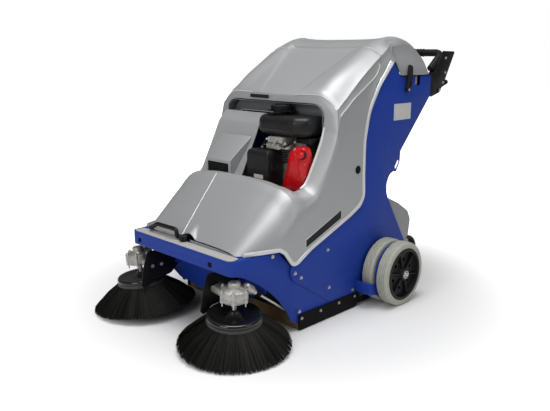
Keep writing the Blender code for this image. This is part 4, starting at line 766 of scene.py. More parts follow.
def broom(side, word):
    """Bristles, ring and hub of one side broom."""
    stand = broom_stand(side)
    lot = random.Random(11 + side)
    strands = []
    for i in range(BRISTLES):
        layer = lot.random() ** 0.6
        turn = 2 * math.pi * (i + 0.8 * lot.random()) / BRISTLES * BRISTLE_ROUNDS
        root_r = BROOM_ROOTS[0] + (BROOM_ROOTS[1] - BROOM_ROOTS[0]) * layer
        tip_r = BROOM_TIPS - 0.040 * (1 - layer) - 0.0035 * lot.random() ** 3
        lift = 0.0006 + 0.0030 * lot.random() ** 2
        bend = turn + 0.030 * (lot.random() - 0.5)
        root = Vector((root_r * math.cos(turn), root_r * math.sin(turn), BROOM_TOP))
        tip = Vector((tip_r * math.cos(bend), tip_r * math.sin(bend), lift))
        middle = (root + tip) / 2 + Vector((0.0, 0.0, 0.0040)) + 0.0020 * Vector(
            (math.cos(turn), math.sin(turn), 0.0))
        strands.append(((root, middle, tip), 0.0008 + 0.0002 * lot.random(), lot.random()))
    piece = bristle_mesh("broom_bristles_" + word, strands)
    piece.data.transform(stand)
    piece = place(piece.name, taken(piece), bristle_black, "broom_" + word, 60.0)
    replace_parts(piece, "side_broom_" + word)
    ring = [(0.0640, 0.0950), (0.0905, 0.0950), (0.0928, 0.0935), (0.0936, 0.0880),
            (0.0936, 0.0800), (0.0928, 0.0772), (0.0905, 0.0760), (0.0640, 0.0800)]
    turned("broom_ring_" + word, ring, stand, 72, ring_grey, "broom_" + word, closed=True)
    dish = [(0.0, 0.1222), (0.0130, 0.1222), (0.0155, 0.1205), (0.0185, 0.1150), (0.0260, 0.1085),
            (0.0380, 0.1040), (0.0520, 0.1020), (0.0640, 0.1028), (0.0730, 0.1062), (0.0790, 0.1098),
            (0.0850, 0.1108), (0.0895, 0.1090), (0.0925, 0.1045), (0.0932, 0.0990), (0.0925, 0.0962),
            (0.0600, 0.0958), (0.0, 0.0958)]
    hub = turned("hub_" + word, dish, stand, 72, gloss_black, "broom_" + word)
    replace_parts(hub, "broom_hub_" + word)


# Broom drives. A cast gear case with six through-bolts over each hub, carried by a black
# swing plate and turned by a bright rod under the side of the frame.
RIB_COUNT = 6
BOLT_CIRCLE = 0.0435
BOLT_TOP = 0.1998
ROD_FRONT = Vector((0.2920, -0.6680, 0.1980))
ROD_REAR = Vector((0.2920, -0.5120, 0.0870))
ROD_PROFILE = [(0.0, 0.0024), (0.0098, 0.0024), (0.0104, 0.0040), (0.0104, 0.0130), (0.0080, 0.0160),
               (0.0056, 0.0170), (0.0056, 0.1860), (0.0048, 0.1885), (0.0, 0.1885)]
BOOT_PROFILE = [(0.0062, 0.0180), (0.0118, 0.0200), (0.0090, 0.0240), (0.0112, 0.0280),
                (0.0086, 0.0320), (0.0104, 0.0360), (0.0080, 0.0400), (0.0062, 0.0420)]
SWING_X = 0.1700
PIVOT_AT = (-0.6290, 0.1880)


def broom_drive(side, word):
    """Gear case, its bolts, the swing plate with its pivot and the rod of one side."""
    body = "broom_swing_" + word
    stand = broom_stand(side)
    case = spun("gear_case", [(0.0, 0.2210), (0.0165, 0.2210), (0.0190, 0.2190), (0.0200, 0.2150),
                              (0.0205, 0.2050), (0.0240, 0.2010), (0.0400, 0.1985), (0.0440, 0.1970),
                              (0.0462, 0.1930), (0.0466, 0.1780), (0.0450, 0.1770), (0.0450, 0.1750),
                              (0.0466, 0.1740), (0.0464, 0.1640), (0.0430, 0.1580), (0.0300, 0.1545),
                              (0.0130, 0.1525), (0.0110, 0.1480), (0.0078, 0.1470), (0.0078, 0.1227),
                              (0.0, 0.1227)], stand, 64)
    rods, heads = [], []
    up = stand.to_3x3() @ Vector((0.0, 0.0, 1.0))
    for k in range(RIB_COUNT):
        turn = 2 * math.pi * (k + 0.25) / RIB_COUNT
        x, y = BOLT_CIRCLE * math.cos(turn), BOLT_CIRCLE * math.sin(turn)
        rib = soften(pin("rib", 0.0074, (x, y, 0.1580), (x, y, BOLT_TOP), 16), 0.0010, 1)
        rib.data.transform(stand)
        cut(case, rib, "UNION")
        heads.append((stand @ Vector((x, y, BOLT_TOP)), up, 0.0046))
        end = pin("bolt_end", 0.0026, (x, y, 0.1450), (x, y, 0.1585), 10)
        end.data.transform(stand)
        rods.append(end)
    lug = soften(cube("case_lug", (-side * 0.0950, -0.0210, 0.1590), (-side * 0.0300, 0.0210, 0.1810)),
                 0.0040)
    lug.data.transform(stand)
    keep = cube("lug_end", (side * (SWING_X + 0.0044), -0.90, 0.0), (side * 0.36, -0.50, 0.40))
    cut(lug, keep, "INTERSECT")
    cut(case, lug, "UNION")
    front = Vector((side * ROD_FRONT.x, ROD_FRONT.y, ROD_FRONT.z))
    rear = Vector((side * ROD_REAR.x, ROD_REAR.y, ROD_REAR.z))
    along = (rear - front).normalized()
    line = stood(front, along)
    nose = spun("case_nose", [(0.0, -0.0390), (0.0130, -0.0390), (0.0155, -0.0360), (0.0160, -0.0200),
                              (0.0160, -0.0060), (0.0140, -0.0010), (0.0080, 0.0010), (0.0, 0.0010)],
                line, 32)
    cut(case, nose, "UNION")
    case = place("gear_case_" + word, taken(case), cast, body, 32.0)
    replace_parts(case, "gearbox_" + word)
    place("case_rods_" + word, taken(joined(*rods)), zinc, body)
    bolts("case_bolts_" + word, body, heads)
    bolts("nose_nut_" + word, body, [(front + along * -0.0385, -along, 0.0088)])
    rod = turned("rod_" + word, ROD_PROFILE, line, 32, zinc, "drive_rod_" + word)
    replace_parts(rod, "drive_rod_" + word)
    turned("rod_boot_" + word, BOOT_PROFILE, line, 28, rubber, "drive_rod_" + word, True, 25.0)
    outline = rounded([(-0.7600, 0.2480), (-0.7800, 0.1900), (-0.7920, 0.1260), (-0.7800, 0.1130),
                       (-0.7620, 0.1190), (-0.7480, 0.1360), (-0.6600, 0.1440), (-0.6220, 0.1740),
                       (-0.6160, 0.1880), (-0.6220, 0.2020), (-0.6360, 0.2480)],
                      [0.014, 0.020, 0.008, 0.006, 0.008, 0.012, 0.020, 0.010, 0.010, 0.010, 0.014])
    plate = slab("swing_plate", outline, side * SWING_X, side * (SWING_X + 0.0040),
                 holes=[circle(PIVOT_AT, 0.0063, 24)])
    plate = place("swing_plate_" + word, taken(soften(plate, 0.0006, 2)), black_paint, body)
    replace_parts(plate, "broom_bracket_" + word)
    out = Vector((side, 0.0, 0.0))
    bolts("swing_pivot_" + word, "chassis", [((side * (SWING_X + 0.0103), *PIVOT_AT), out, 0.0090)])
    bolts("swing_bolts_" + word, body,
          [(Vector((side * (SWING_X - 0.0001), y, z)), -out, 0.0058)
           for y, z in ((-0.7400, 0.1900), (-0.7000, 0.1900))])


for turn_side, side_word in SIDES:
    broom(turn_side, side_word)
    broom_drive(turn_side, side_word)


# Hood trim. A rolled bead follows the lip of the moulding and a round one the window's edge.
# Fine raised lines run along the creases, a strip and a rivet sit low on the side, and a skirt
# hangs behind the brow. Beads and lines are in a lighter silver that paints their highlights,
# and the skirt in a darker one that paints the shade behind the brow.
def refined(node, width, angle=32.0):
    """The node's own shape with its flat faces merged and its edges rounded, in its place."""
    mesh = frame["nodes"][node].data.copy()
    mesh.transform(Matrix.Translation((0.0, -AXLE_Y, 0.0)))
    piece = bpy.data.objects.new(node + "_form", mesh)
    bpy.context.scene.collection.objects.link(piece)
    only(piece)
    bpy.ops.object.mode_set(mode="EDIT")
    bpy.ops.mesh.select_all(action="SELECT")
    bpy.ops.mesh.remove_doubles(threshold=0.00001)
    bpy.ops.mesh.dissolve_limited(angle_limit=math.radians(0.6))
    bpy.ops.mesh.select_all(action="SELECT")
    bpy.ops.mesh.normals_make_consistent(inside=False)
    bpy.ops.object.mode_set(mode="OBJECT")
    soften(piece, width, 2, angle)
    made = place(node + "_form", taken(piece), FINISH[slot_of[node]], body_of[node])
    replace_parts(made, node)


def lofted(name, rings):
    """A closed skin over loops of points that all have the same count."""
    count = len(rings[0])
    verts = [p for ring in rings for p in ring]
    faces = []
    for i in range(len(rings) - 1):
        for k in range(count):
            here, after = i * count, (k + 1) % count
            faces.append((here + k, here + after, here + count + after, here + count + k))
    faces.append(tuple(range(count))[::-1])
    faces.append(tuple((len(rings) - 1) * count + k for k in range(count)))
    return outward(raw(name, verts, faces))


# Painted highlight: a lighter copy of the silver lacquer, so the beads, rims and raised lines show bright
# edges. The side strip's light border also uses this colour, and that border is the strip's own.
highlight_and_border_silver = grain("highlight_and_border_silver", (0.680, 0.690, 0.690), (0.620, 0.630, 0.630), 0.30, 0.05, 0.25,
                    900.0, 1400.0, 0.08, coat=0.3, depth=0.0002)
# Painted shade: a darker copy of the silver lacquer for the inner wall and collar behind the brow, which
# stand out of the light.
shaded_silver = grain("shaded_silver", (0.190, 0.198, 0.205), (0.160, 0.167, 0.173), 0.48, 0.05, 0.30,
                      900.0, 1400.0, 0.10, depth=0.0002)
BEAD = [(-0.0006, -0.0030), (-0.0006, 0.0010), (0.0004, 0.0022), (0.0110, 0.0022), (0.0128, 0.0012),
        (0.0134, -0.0008), (0.0134, -0.0030)]
BEAD_ENDS = (-0.6960, 0.0380)
RIM_RADIUS = 0.0058
RIM_TOP_Z = 0.7000


def side_x(y, z):
    """Outer face of the hood's side at a height."""
    drop = max(edge_z(y) - z, 0.0)
    return edge_x(y) + (side_at(y) - edge_x(y)) * ease(drop / flare(y))


def lip_bead(side, word):
    """The rolled edge of one side, from the front corner round the lip to its top."""
    path = []
    for a, b in zip(lip_path, lip_path[1:]):
        parts = max(1, int((b - a).length / 0.012))
        path += [a + (b - a) * k / parts for k in range(parts)]
    path = [p for p in path if BEAD_ENDS[0] <= p.x <= BEAD_ENDS[1]]
    rings = []
    for i, p in enumerate(path):
        along = (path[min(i + 1, len(path) - 1)] - path[max(i - 1, 0)]).normalized()
        up = Vector((-along.y, along.x))
        ring = []
        for across, out in BEAD:
            q = p + up * across
            ring.append((side * (side_x(q.x, q.y) + out), q.x, q.y))
        rings.append(ring)
    bead = lofted("lip_bead", rings)
    # Painted highlight: the bead is in the lighter silver, so the lip shows a bright line.
    place("lip_bead_" + word, taken(bead), highlight_and_border_silver, "hood", 50.0)


def shoulder_lines(side, word):
    """Fine raised lines of one shoulder, over the brow, across the cap's end and along the ledge, in the
    lighter silver that paints the creases' highlights.
    """
    brow = [(x, BROW_LINE_Y, z + 0.0006) for x, z in hood_half(BROW_LINE_Y, side)[14:38]]
    seam = [(x, CAP_LINE_Y, z) for x, z in hood_half(CAP_LINE_Y, side)[26:40]]
    stations = [-0.2840 + 0.0100 * k for k in range(25)]
    ledge = [(edge_x(y) - 0.0006, y, edge_z(y) + 0.0004) for y in stations]
    ledge += [(0.3062, -0.0340, 0.8975), (0.3050, -0.0300, 0.9040), (0.3030, -0.0285, 0.9120),
              (0.3005, -0.0290, 0.9190)]
    for name, line, radius in (("brow", brow, 0.0020), ("cap", seam, 0.0024),
                               ("ledge", ledge, 0.0018)):
        path = [(side * x, bowed(x, y), z) for x, y, z in line]
        bar(f"{name}_line_{word}", path, radius, highlight_and_border_silver, "hood", 10)


def slope_line():
    """Thin raised line on the front slope, in the lighter silver that paints its highlight, and the short
    turned edge at the slope's foot.
    """
    loop = []
    for k in range(30):
        y = -0.6990 + 0.2170 * k / 29
        x = ridge_x(y)
        z = rise(y) + crown(y) * (1 - (x / bend_at(y)) ** 4) + hood_point_rise(x, y)
        loop.append((x, y, z))
    bar("slope_line", loop, 0.0026, highlight_and_border_silver, "hood", 12)
    for word, side, start in (("right", -1, 0.0440), ("left", 1, 0.0080)):
        foot = ((start, 0.3106), (start, 0.3195), (0.1400, 0.3182), (0.1960, 0.3152),
                (0.2340, 0.3114), (0.2340, 0.3106))
        edge = slab("edge", [(side * x, z) for x, z in foot], -0.7002, -0.6972, "xz")
        place("slope_edge_" + word, taken(soften(edge, 0.0004, 1)), silver, "hood")


def section_z(x, y):
    """Height of the hood's outer face at a distance from its middle, on one of its stations."""
    points = hood_half(y, 1 if x >= 0 else -1)
    reach = abs(x)
    for (x0, z0), (x1, z1) in zip(points, points[1:]):
        if x0 <= reach <= x1 and x1 > x0:
            return z0 + (z1 - z0) * (reach - x0) / (x1 - x0)
    return points[-1][1]


def front_y(x, z):
    """Station on the hood's front, between the window's front edge and the brow, at a height."""
    low, high = -0.4600, -0.2600
    for _ in range(30):
        middle = (low + high) / 2
        if section_z(x, middle) < z:
            low = middle
        else:
            high = middle
    return low


def window_rim(side, word):
    """Rounded edge of the pillar beside the opening, from the ridge up to the brow, in the lighter silver
    that paints its highlight.
    """
    loop = []
    foot_y = WINDOW_FRONT_Y - fallback(WINDOW_FRONT_Y) * (WINDOW_HALF / BOW_HALF) ** 2
    foot_z = section_z(WINDOW_HALF, foot_y)
    for k in range(25):
        z = foot_z + (RIM_TOP_Z - foot_z) * k / 24
        y = bowed(WINDOW_HALF, front_y(side * WINDOW_HALF, z))
        loop.append((side * (WINDOW_HALF + 0.0012), y + 0.0030, z))
    bar("window_rim_" + word, loop, RIM_RADIUS, highlight_and_border_silver, "hood", 16)


def brow_edge():
    """Rolled lower edge of the brow between the two pillars."""
    outline = rounded([(-WINDOW_HALF, RIM_TOP_Z), (-WINDOW_HALF, BROW_Z), (WINDOW_HALF, BROW_Z),
                       (WINDOW_HALF, RIM_TOP_Z)], [0, BROW_CORNER, BROW_CORNER, 0], 10, closed=False)
    loop = [(x, bowed(x, front_y(x, z)) + 0.0010, z) for x, z in outline]
    bar("brow_edge", loop, 0.0020, silver, "hood", 12)


def brow_skirt():
    """Inner wall that hangs behind the brow, painted darker as shade, with a rolled lower edge."""
    half, top, low = WINDOW_HALF - 0.0045, BROW_Z - 0.0045, 0.6620
    outer = rounded([(-half, low), (-half, top), (half, top), (half, low)],
                    [0, BROW_CORNER, BROW_CORNER, 0], 8)
    inside = rounded([(-half + 0.018, low), (-half + 0.018, 0.7340), (half - 0.018, 0.7340),
                      (half - 0.018, low)], [0, 0.055, 0.055, 0], 10)
    skirt = slab("brow_skirt", outer + inside[::-1], -0.2480, -0.2450, "xz")
    place("brow_skirt", taken(soften(skirt, 0.0008, 2)), shaded_silver, "hood")
    # Painted highlight: the rolled lower edge is in the lighter silver.
    bar("skirt_edge", [(p.x, -0.2485, p.y) for p in inside], 0.0022, highlight_and_border_silver, "hood", 8)


def side_strip(side, word):
    """Plain strip with a light border, set along the lower edge of the hood's side."""
    x = side_x(-0.3500, 0.3600)
    for name, rim, proud, mat in (("strip_border", 0.0, 0.0006, highlight_and_border_silver),
                                  ("strip_field", 0.0020, 0.0009, black_plastic)):
        front, rear = -0.4410 + rim, -0.2500 - rim
        outline = [(front, 0.3000 + rim), (rear, 0.3715 + rim), (rear, 0.4060 - rim),
                   (front, 0.3310 - rim)]
        piece = slab(name, rounded(outline, 0.002, 3), side * (x - 0.0010), side * (x + proud))
        place(f"{name}_{word}", taken(soften(piece, 0.0002, 1)), mat, "hood")
    rivet = [(0.0, 0.0022), (0.0020, 0.0019), (0.0034, 0.0008), (0.0036, -0.0010), (0.0, -0.0010)]
    turned("hood_rivet_" + word, rivet, stood((side * x, -0.1635, 0.4172), (side, 0, 0)), 20, zinc,
           "hood")


for turn_side, side_word in SIDES:
    lip_bead(turn_side, side_word)
side_strip(1, "left")
for turn_side, side_word in SIDES:
    window_rim(turn_side, side_word)
brow_edge()
slope_line()
for turn_side, side_word in SIDES:
    shoulder_lines(turn_side, side_word)
brow_skirt()
BROW_PLATE = [(-0.1060, 0.7900), (-0.0060, 0.7900), (-0.0060, 0.8030), (-0.1060, 0.8030)]
plate = slab("brow_plate", rounded(BROW_PLATE, 0.002, 4), -0.3008, -0.2980, "xz")
place("brow_plate", taken(soften(plate, 0.0003, 1)), black_plastic, "hood")
GROMMET = [(0.0, 0.0028), (0.0090, 0.0030), (0.0135, 0.0026), (0.0152, 0.0012), (0.0152, -0.0020),
           (0.0, -0.0020)]
turned("hood_grommet", GROMMET, stood((0.3200, -0.1600, 0.5400), (1, 0, 0)), 32, rubber, "hood")
refined("vent_grille", 0.0004)


# Window liner. A silver sheet rises behind the ridge to the brow, with the raised air duct on it,
# whose side tapers into the sheet.
LINER = [(-0.4400, 0.4930), (-0.4220, 0.5170), (-0.3720, 0.6130), (-0.3300, 0.6980),
         (-0.2900, 0.7330)]
LINER_RIGHT_X = -0.0220
DUCT_X = (-0.2100, -0.0680)
DUCT_APEX_X = -0.0360
DUCT_FRONT_Y = -0.4430


def sheet_outline(path, thickness):
    """Outline of a sheet that follows a path."""
    other = []
    for i, p in enumerate(path):
        along = (Vector(path[min(i + 1, len(path) - 1)]) - Vector(path[max(i - 1, 0)])).normalized()
        other.append(Vector(p) + Vector((along.y, -along.x)) * thickness)
    return [Vector(p) for p in path] + other[::-1]


def window_liner():
    """Liner and duct in one piece, with the duct's mouth cut for the grille, and the brow's collar."""
    curve = rounded(LINER, 0.060, 6, closed=False)
    liner = slab("liner", sheet_outline(curve, 0.0035), -WINDOW_HALF + 0.0006, LINER_RIGHT_X)
    duct = slab("duct", [(DUCT_FRONT_Y, 0.4960), (DUCT_FRONT_Y, 0.5580), (-0.4380, 0.5620), (-0.3600, 0.6500),
                         (-0.3640, 0.6220), (-0.4200, 0.5050)], *DUCT_X)
    for vert in duct.data.vertices:
        if vert.co.x > DUCT_X[1] - 0.001 and vert.co.y > -0.400:
            vert.co.x = DUCT_APEX_X
    soften(duct, 0.0030, 3, 30.0)
    cut(liner, duct, "UNION")
    cut(liner, cube("duct_mouth", (DUCT_X[0] + 0.010, DUCT_FRONT_Y - 0.02, 0.5080),
                    (DUCT_X[1] - 0.010, DUCT_FRONT_Y + 0.014, 0.5480)))
    made = place("window_liner", taken(liner), silver, "hood", 32.0)
    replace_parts(made, "recess_panel")
    half, top = WINDOW_HALF - 0.0040, BROW_Z - 0.0040
    arch = rounded([(-half, RIM_TOP_Z), (-half, top), (half, top), (half, RIM_TOP_Z)],
                   [0, BROW_CORNER, BROW_CORNER, 0], 8, closed=False)
    collar = slab("brow_collar", sheet_outline(arch, 0.0025), -0.2860, -0.2450, "xz")
    # Painted shade: the collar under the brow is in the darker silver.
    place("brow_collar", taken(collar), shaded_silver, "hood")


window_liner()


# Engine. What the window shows of it: the two-lobed tank with its ribbed cap, the bevelled
# filter box, the red cover with its ridge, and the carburettor with its linkage between them.
tank_black = grain("tank_black", (0.016, 0.016, 0.017), (0.010, 0.010, 0.011), 0.34, 0.06, 0.0,
                   30.0, 700.0, 0.15, depth=0.0003, shine=0.30)
filter_black = grain("filter_black", (0.0130, 0.0130, 0.0135), (0.0085, 0.0085, 0.0090), 0.38, 0.06, 0.0,
                     60.0, 1300.0, 0.30, depth=0.0003, shine=0.30)
pale_field = grain("pale_field", (0.560, 0.560, 0.540), (0.500, 0.500, 0.480), 0.45, 0.05, 0.0,
                   30.0, 500.0, 0.05)
TANK_LEFT, TANK_RIGHT = -0.0180, 0.2360
TANK_FRONT, TANK_REAR = -0.3680, -0.1800
TANK_LOW, TANK_TOP = 0.6620, 0.7360
TANK_CORNERS = [0.055, 0.045, 0.045, 0.045, 0.055]
CAP_AT = Vector((0.0620, -0.3000, 0.7480))


def tank_outline(proud):
    """The tank from above, standing off its wall by a distance."""
    return rounded([(TANK_LEFT - proud, TANK_FRONT - proud), (TANK_RIGHT - 0.051, TANK_FRONT - proud),
                    (TANK_RIGHT + proud, TANK_FRONT + 0.033), (TANK_RIGHT + proud, TANK_REAR + proud),
                    (TANK_LEFT - proud, TANK_REAR + proud)], TANK_CORNERS, 8)


def fuel_tank():
    """Tank with soft edges, a groove between its lobes, a seam, the raised neck and its cap."""
    tank = soften(slab("tank", tank_outline(0.0), TANK_LOW, TANK_TOP, "xy"), 0.0260, 6, 60.0)
    groove = pin("tank_groove", 0.0130, (0.1760, TANK_FRONT - 0.0075, TANK_LOW - 0.01),
                 (0.1700, TANK_FRONT - 0.0075, TANK_TOP + 0.01), 32)
    cut(tank, groove)
    tank = place("tank_form", taken(tank), tank_black, "chassis", 30.0)
    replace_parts(tank, "fuel_tank")
    seam = [(p.x, p.y, 0.6900) for p in tank_outline(0.0004)]
    bar("tank_seam", seam, 0.0012, tank_black, "chassis", 8, closed=True)
    neck = [(0.0, 0.0), (0.0285, 0.0), (0.0300, -0.0015), (0.0300, -0.0090), (0.0360, -0.0130),
            (0.0360, -0.0200), (0.0, -0.0200)]
    turned("tank_neck", neck, Matrix.Translation(CAP_AT), 48, tank_black, "chassis")
    cap = pin("cap_body", 0.0385, CAP_AT + Vector((0.0, 0.0, 0.0006)),
              CAP_AT + Vector((0.0, 0.0, 0.0200)), 72)
    picked(cap, lambda f: abs(f.normal.z) < 0.1 and f.index % 2 == 0)
    bpy.ops.mesh.extrude_faces_move(TRANSFORM_OT_shrink_fatten={"value": -0.0014})
    shut(cap)
    stepped(cap, lambda f: f.normal.z > 0.9, (0.0030, (0.0, 0.0, 0.0022)),
            (0.0180, (0.0, 0.0, -0.0012)))
    grip = soften(cube("cap_grip", CAP_AT + Vector((-0.0270, -0.0050, 0.0180)),
                       CAP_AT + Vector((0.0270, 0.0050, 0.0250))), 0.0020)
    cap = place("cap_form", taken(joined(cap, grip)), black_plastic, "fuel_cap", 30.0)
    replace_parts(cap, "fuel_cap")


def filter_box():
    """Air filter box: heavy bevels, a lid line, a side clamp, a knob and a small plain plate."""
    low, high = Vector((-0.0100, -0.4120, 0.4620)), Vector((0.1040, -0.3305, 0.6120))
    box = cube("filter", low, high)
    picked(box, lambda e: (e.verts[0].co.z + e.verts[1].co.z) / 2 > high.z - 0.001, "EDGE")
    bpy.ops.mesh.bevel(offset=0.0220, segments=5, profile=0.6)
    shut(box)
    soften(box, 0.0060, 3, 50.0)
    shell = slab("lid_line", [(low.x - 0.01, 0.5320), (high.x + 0.01, 0.5320), (high.x + 0.01, 0.5340),
                              (low.x - 0.01, 0.5340)], low.y - 0.01, high.y + 0.01, "xz")
    core = cube("lid_core", low + Vector((0.0014, 0.0014, -0.01)), high - Vector((0.0014, 0.0014, -0.01)))
    cut(shell, core)
    cut(box, shell)
    box = place("filter_form", taken(box), filter_black, "chassis", 30.0)
    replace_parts(box, "air_filter_box")
    clamp = cube("clamp", (high.x - 0.0010, -0.3980, 0.5380), (high.x + 0.0060, -0.3720, 0.5640))
    stepped(clamp, lambda f: f.normal.x > 0.9, (0.0040, (-0.0020, 0.0, 0.0)))
    knob = spun("filter_knob", [(0.0, 0.0090), (0.0070, 0.0090), (0.0086, 0.0070), (0.0086, 0.0010),
                                (0.0050, 0.0), (0.0, 0.0)], stood((low.x, -0.3900, 0.5480), (-1, 0, 0)), 24)
    foot = cube("filter_foot", (low.x - 0.0150, -0.4080, 0.4620), (low.x + 0.0020, -0.3360, 0.4900))
    picked(foot, lambda f: f.normal.z > 0.9)
    bpy.ops.transform.resize(value=(0.5, 0.8, 1.0), center_override=(low.x, -0.3720, 0.4900))
    bpy.ops.transform.translate(value=(0.0, 0.0, 0.0180))
    shut(foot)
    place("filter_trim", taken(joined(clamp, knob, foot)), filter_black, "chassis", 30.0)
    block("filter_plate", (0.0310, low.y - 0.0007, 0.5060), (0.0790, low.y + 0.0004, 0.5210),
          0.0003, pale_field, "chassis", 1)


def fan_cover():
    """Red cover with a soft edge, a raised middle, a ridge down it, a cap and its bolts."""
    outline = rounded([(0.1180, 0.4450), (0.2470, 0.4450), (0.2470, 0.6050), (0.2370, 0.6330),
                       (0.2020, 0.6330), (0.1840, 0.6270), (0.1640, 0.6080), (0.1540, 0.5650)],
                      [0.012, 0.03, 0.04, 0.02, 0.012, 0.012, 0.014, 0.04], 5)
    cover = slab("cover", outline, -0.3620, -0.3306, "xz")
    picked(cover, lambda f: f.normal.y < -0.9)
    for forward, share in ((0.0075, 0.86), (0.0050, 0.76), (0.0030, 0.60)):
        bpy.ops.mesh.extrude_region_move(TRANSFORM_OT_translate={"value": (0.0, -forward, 0.0)})
        bpy.ops.transform.resize(value=(share, 1.0, share), center_override=(0.2040, 0.0, 0.5450))
    shut(cover)
    soften(cover, 0.0030, 3, 20.0)
    cover = place("cover_form", taken(cover), red, "chassis", 60.0)
    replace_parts(cover, "fan_cover")
    bar("cover_ridge", [(0.1980, -0.3690, 0.6120), (0.2100, -0.3770, 0.5950),
                        (0.2220, -0.3780, 0.5600), (0.2300, -0.3760, 0.5200),
                        (0.2350, -0.3700, 0.4800)], 0.0034, red, "chassis", 12)
    cap = [(0.0, 0.0110), (0.0080, 0.0108), (0.0120, 0.0090), (0.0136, 0.0050), (0.0136, 0.0),
           (0.0, 0.0)]
    collar = [(0.0, 0.0016), (0.0160, 0.0016), (0.0166, 0.0), (0.0166, -0.0060), (0.0, -0.0060)]
    facing = (0.2, -1, 0.1)
    turned("red_cap", cap, stood((0.2330, -0.3730, 0.6080), facing), 40, red, "chassis")
    turned("cap_collar", collar, stood((0.2330, -0.3715, 0.6080), facing), 40, black_plastic,
           "chassis")
    bolts("cover_bolts", "chassis",
          [(Vector((x, y, z)), Vector((0, -1, 0)), 0.0042)
           for x, y, z in ((0.1960, -0.3660, 0.6230), (0.1440, -0.3620, 0.5110), (0.2400, -0.3640, 0.5760),
                           (0.2400, -0.3640, 0.5300), (0.1620, -0.3620, 0.5620))])


def carburettor():
    """Cast body under the tank with its bowl, lever, rod, spring, hoses and screws."""
    body = cube("carb_body", (0.0700, -0.3780, 0.6385), (0.1450, -0.3050, 0.6600))
    stepped(body, lambda f: f.normal.y < -0.9, (0.0040, (0.0, -0.0040, 0.0)))
    soften(body, 0.0020, 2)
    flange = soften(cube("carb_flange", (0.0630, -0.3800, 0.6160), (0.1300, -0.3500, 0.6372)), 0.0020, 2)
    bowl = spun("carb_bowl", [(0.0, 0.0), (0.0150, 0.0), (0.0180, 0.0030), (0.0190, 0.0200),
                              (0.0, 0.0200)], Matrix.Translation((0.1500, -0.3580, 0.6180)), 32)
    made = place("carb_form", taken(joined(body, flange, bowl)), cast, "chassis")
    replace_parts(made, "carburettor")
    outline = rounded([(0.1060, 0.6300), (0.1140, 0.6300), (0.1290, 0.6520), (0.1560, 0.6560),
                       (0.1560, 0.6620), (0.1250, 0.6590)], 0.002, 3)
    lever = slab("choke_lever", outline, -0.3920, -0.3905, "xz")
    place("choke_lever", taken(lever), zinc, "chassis")
    turns = [(0.1240 + 0.0004 * k, -0.3960 + 0.0030 * math.cos(k * math.pi / 4),
              0.6280 + 0.0030 * math.sin(k * math.pi / 4)) for k in range(90)]
    bar("governor_spring", turns, 0.0006, zinc, "chassis", 8)
    fuel = [(0.1800, -0.3500, 0.6700), (0.1860, -0.3720, 0.6480), (0.1780, -0.3880, 0.6360),
            (0.1540, -0.3800, 0.6300)]
    breather = [(0.0520, -0.3380, 0.6660), (0.0440, -0.3560, 0.6460), (0.0360, -0.3700, 0.6200),
                (0.0300, -0.3720, 0.6080)]
    for name, route, bends, radius in (("fuel_hose", fuel, [0, 0.016, 0.012, 0], 0.0038),
                                       ("breather_hose", breather, [0, 0.014, 0.010, 0], 0.0052)):
        bar(name, rounded(route, bends, 8, closed=False), radius, rubber, "chassis", 16)
    bar("governor_rod", [(0.0560, -0.3900, 0.6310), (0.1060, -0.3900, 0.6340)], 0.0010, zinc,
        "chassis", 8)
    bolts("carb_bolts", "chassis",
          [(Vector((x, y, z)), Vector((0, -1, 0)), r)
           for x, y, z, r in ((0.0720, -0.3800, 0.6270, 0.0044), (0.1210, -0.3800, 0.6270, 0.0044),
                              (0.0800, -0.3820, 0.6520, 0.0034), (0.1360, -0.3820, 0.6500, 0.0034),
                              (0.1100, -0.3905, 0.6340, 0.0036), (0.1660, -0.3850, 0.6420, 0.0040),
                              (0.1900, -0.3600, 0.6480, 0.0040))])
    band = [(0.0, 0.003), (0.0062, 0.003), (0.0062, -0.003), (0.0, -0.003)]
    clips = [spun("hose_clip", band, stood(at, along), 20)
             for at, along in (((0.0440, -0.3560, 0.6460), (-0.3, -0.4, -0.8)),
                               ((0.0350, -0.3705, 0.6180), (-0.2, -0.1, -0.9)))]
    place("hose_clips", taken(joined(*clips)), zinc, "chassis")


def shroud():
    """Black cowl under the tank, and the cast fins of the cylinder lower down beside it."""
    cowl = cube("cowl", (0.1660, -0.3280, 0.6405), (0.2360, -0.2000, 0.6600))
    stepped(cowl, lambda f: f.normal.y < -0.9, (0.0030, (0.0, -0.0030, 0.0)))
    soften(cowl, 0.0020, 2)
    fins = [cube(f"fin_{k}", (0.0300, -0.3320, 0.5650 + 0.0090 * k),
                 (0.1000, -0.2000, 0.5675 + 0.0090 * k)) for k in range(7)]
    place("cylinder_fins", taken(joined(*fins)), cast, "chassis")
    place("cowl_form", taken(cowl), black_paint, "chassis")


fuel_tank()
filter_box()
fan_cover()
carburettor()
shroud()


# Wheels. Pale grey tyres with fine grooves round the tread, on black ribbed hubs with a zinc
# ring and the axle's domed end.
WHEEL_Z = 0.1250
CASE_RADIUS = 0.1130
HUB_RIBS = 6
OUTER_X = 0.4140
INNER_X = 0.3480
SEAT = 0.1027
HUB_EDGE = SEAT - 0.0004
HUB_RIM = 0.0935
TYRE_HALF = 0.0240
HUB_PROFILE = [(HUB_RIM - 0.0030, 0.0262), (HUB_RIM + 0.0040, 0.0268), (0.1000, 0.0262),
               (HUB_EDGE, 0.0240), (HUB_EDGE, -0.0240), (HUB_RIM, -0.0240),
               (HUB_RIM - 0.0010, -0.0060), (0.0250, -0.0060), (0.0240, -0.0240), (0.0104, -0.0240),
               (0.0104, 0.0276), (0.0200, 0.0280), (0.0236, 0.0262), (0.0250, 0.0160),
               (0.0290, 0.0110), (0.0800, 0.0060), (0.0870, 0.0080), (0.0900, 0.0140)]
HUB_RING = [(0.0108, 0.0296), (0.0120, 0.0318), (0.0146, 0.0318), (0.0160, 0.0300),
            (0.0160, 0.0276), (0.0108, 0.0276)]
NUT_SEAT = [(0.0082, 0.0284), (0.0109, 0.0284), (0.0109, 0.0274), (0.0082, 0.0274)]
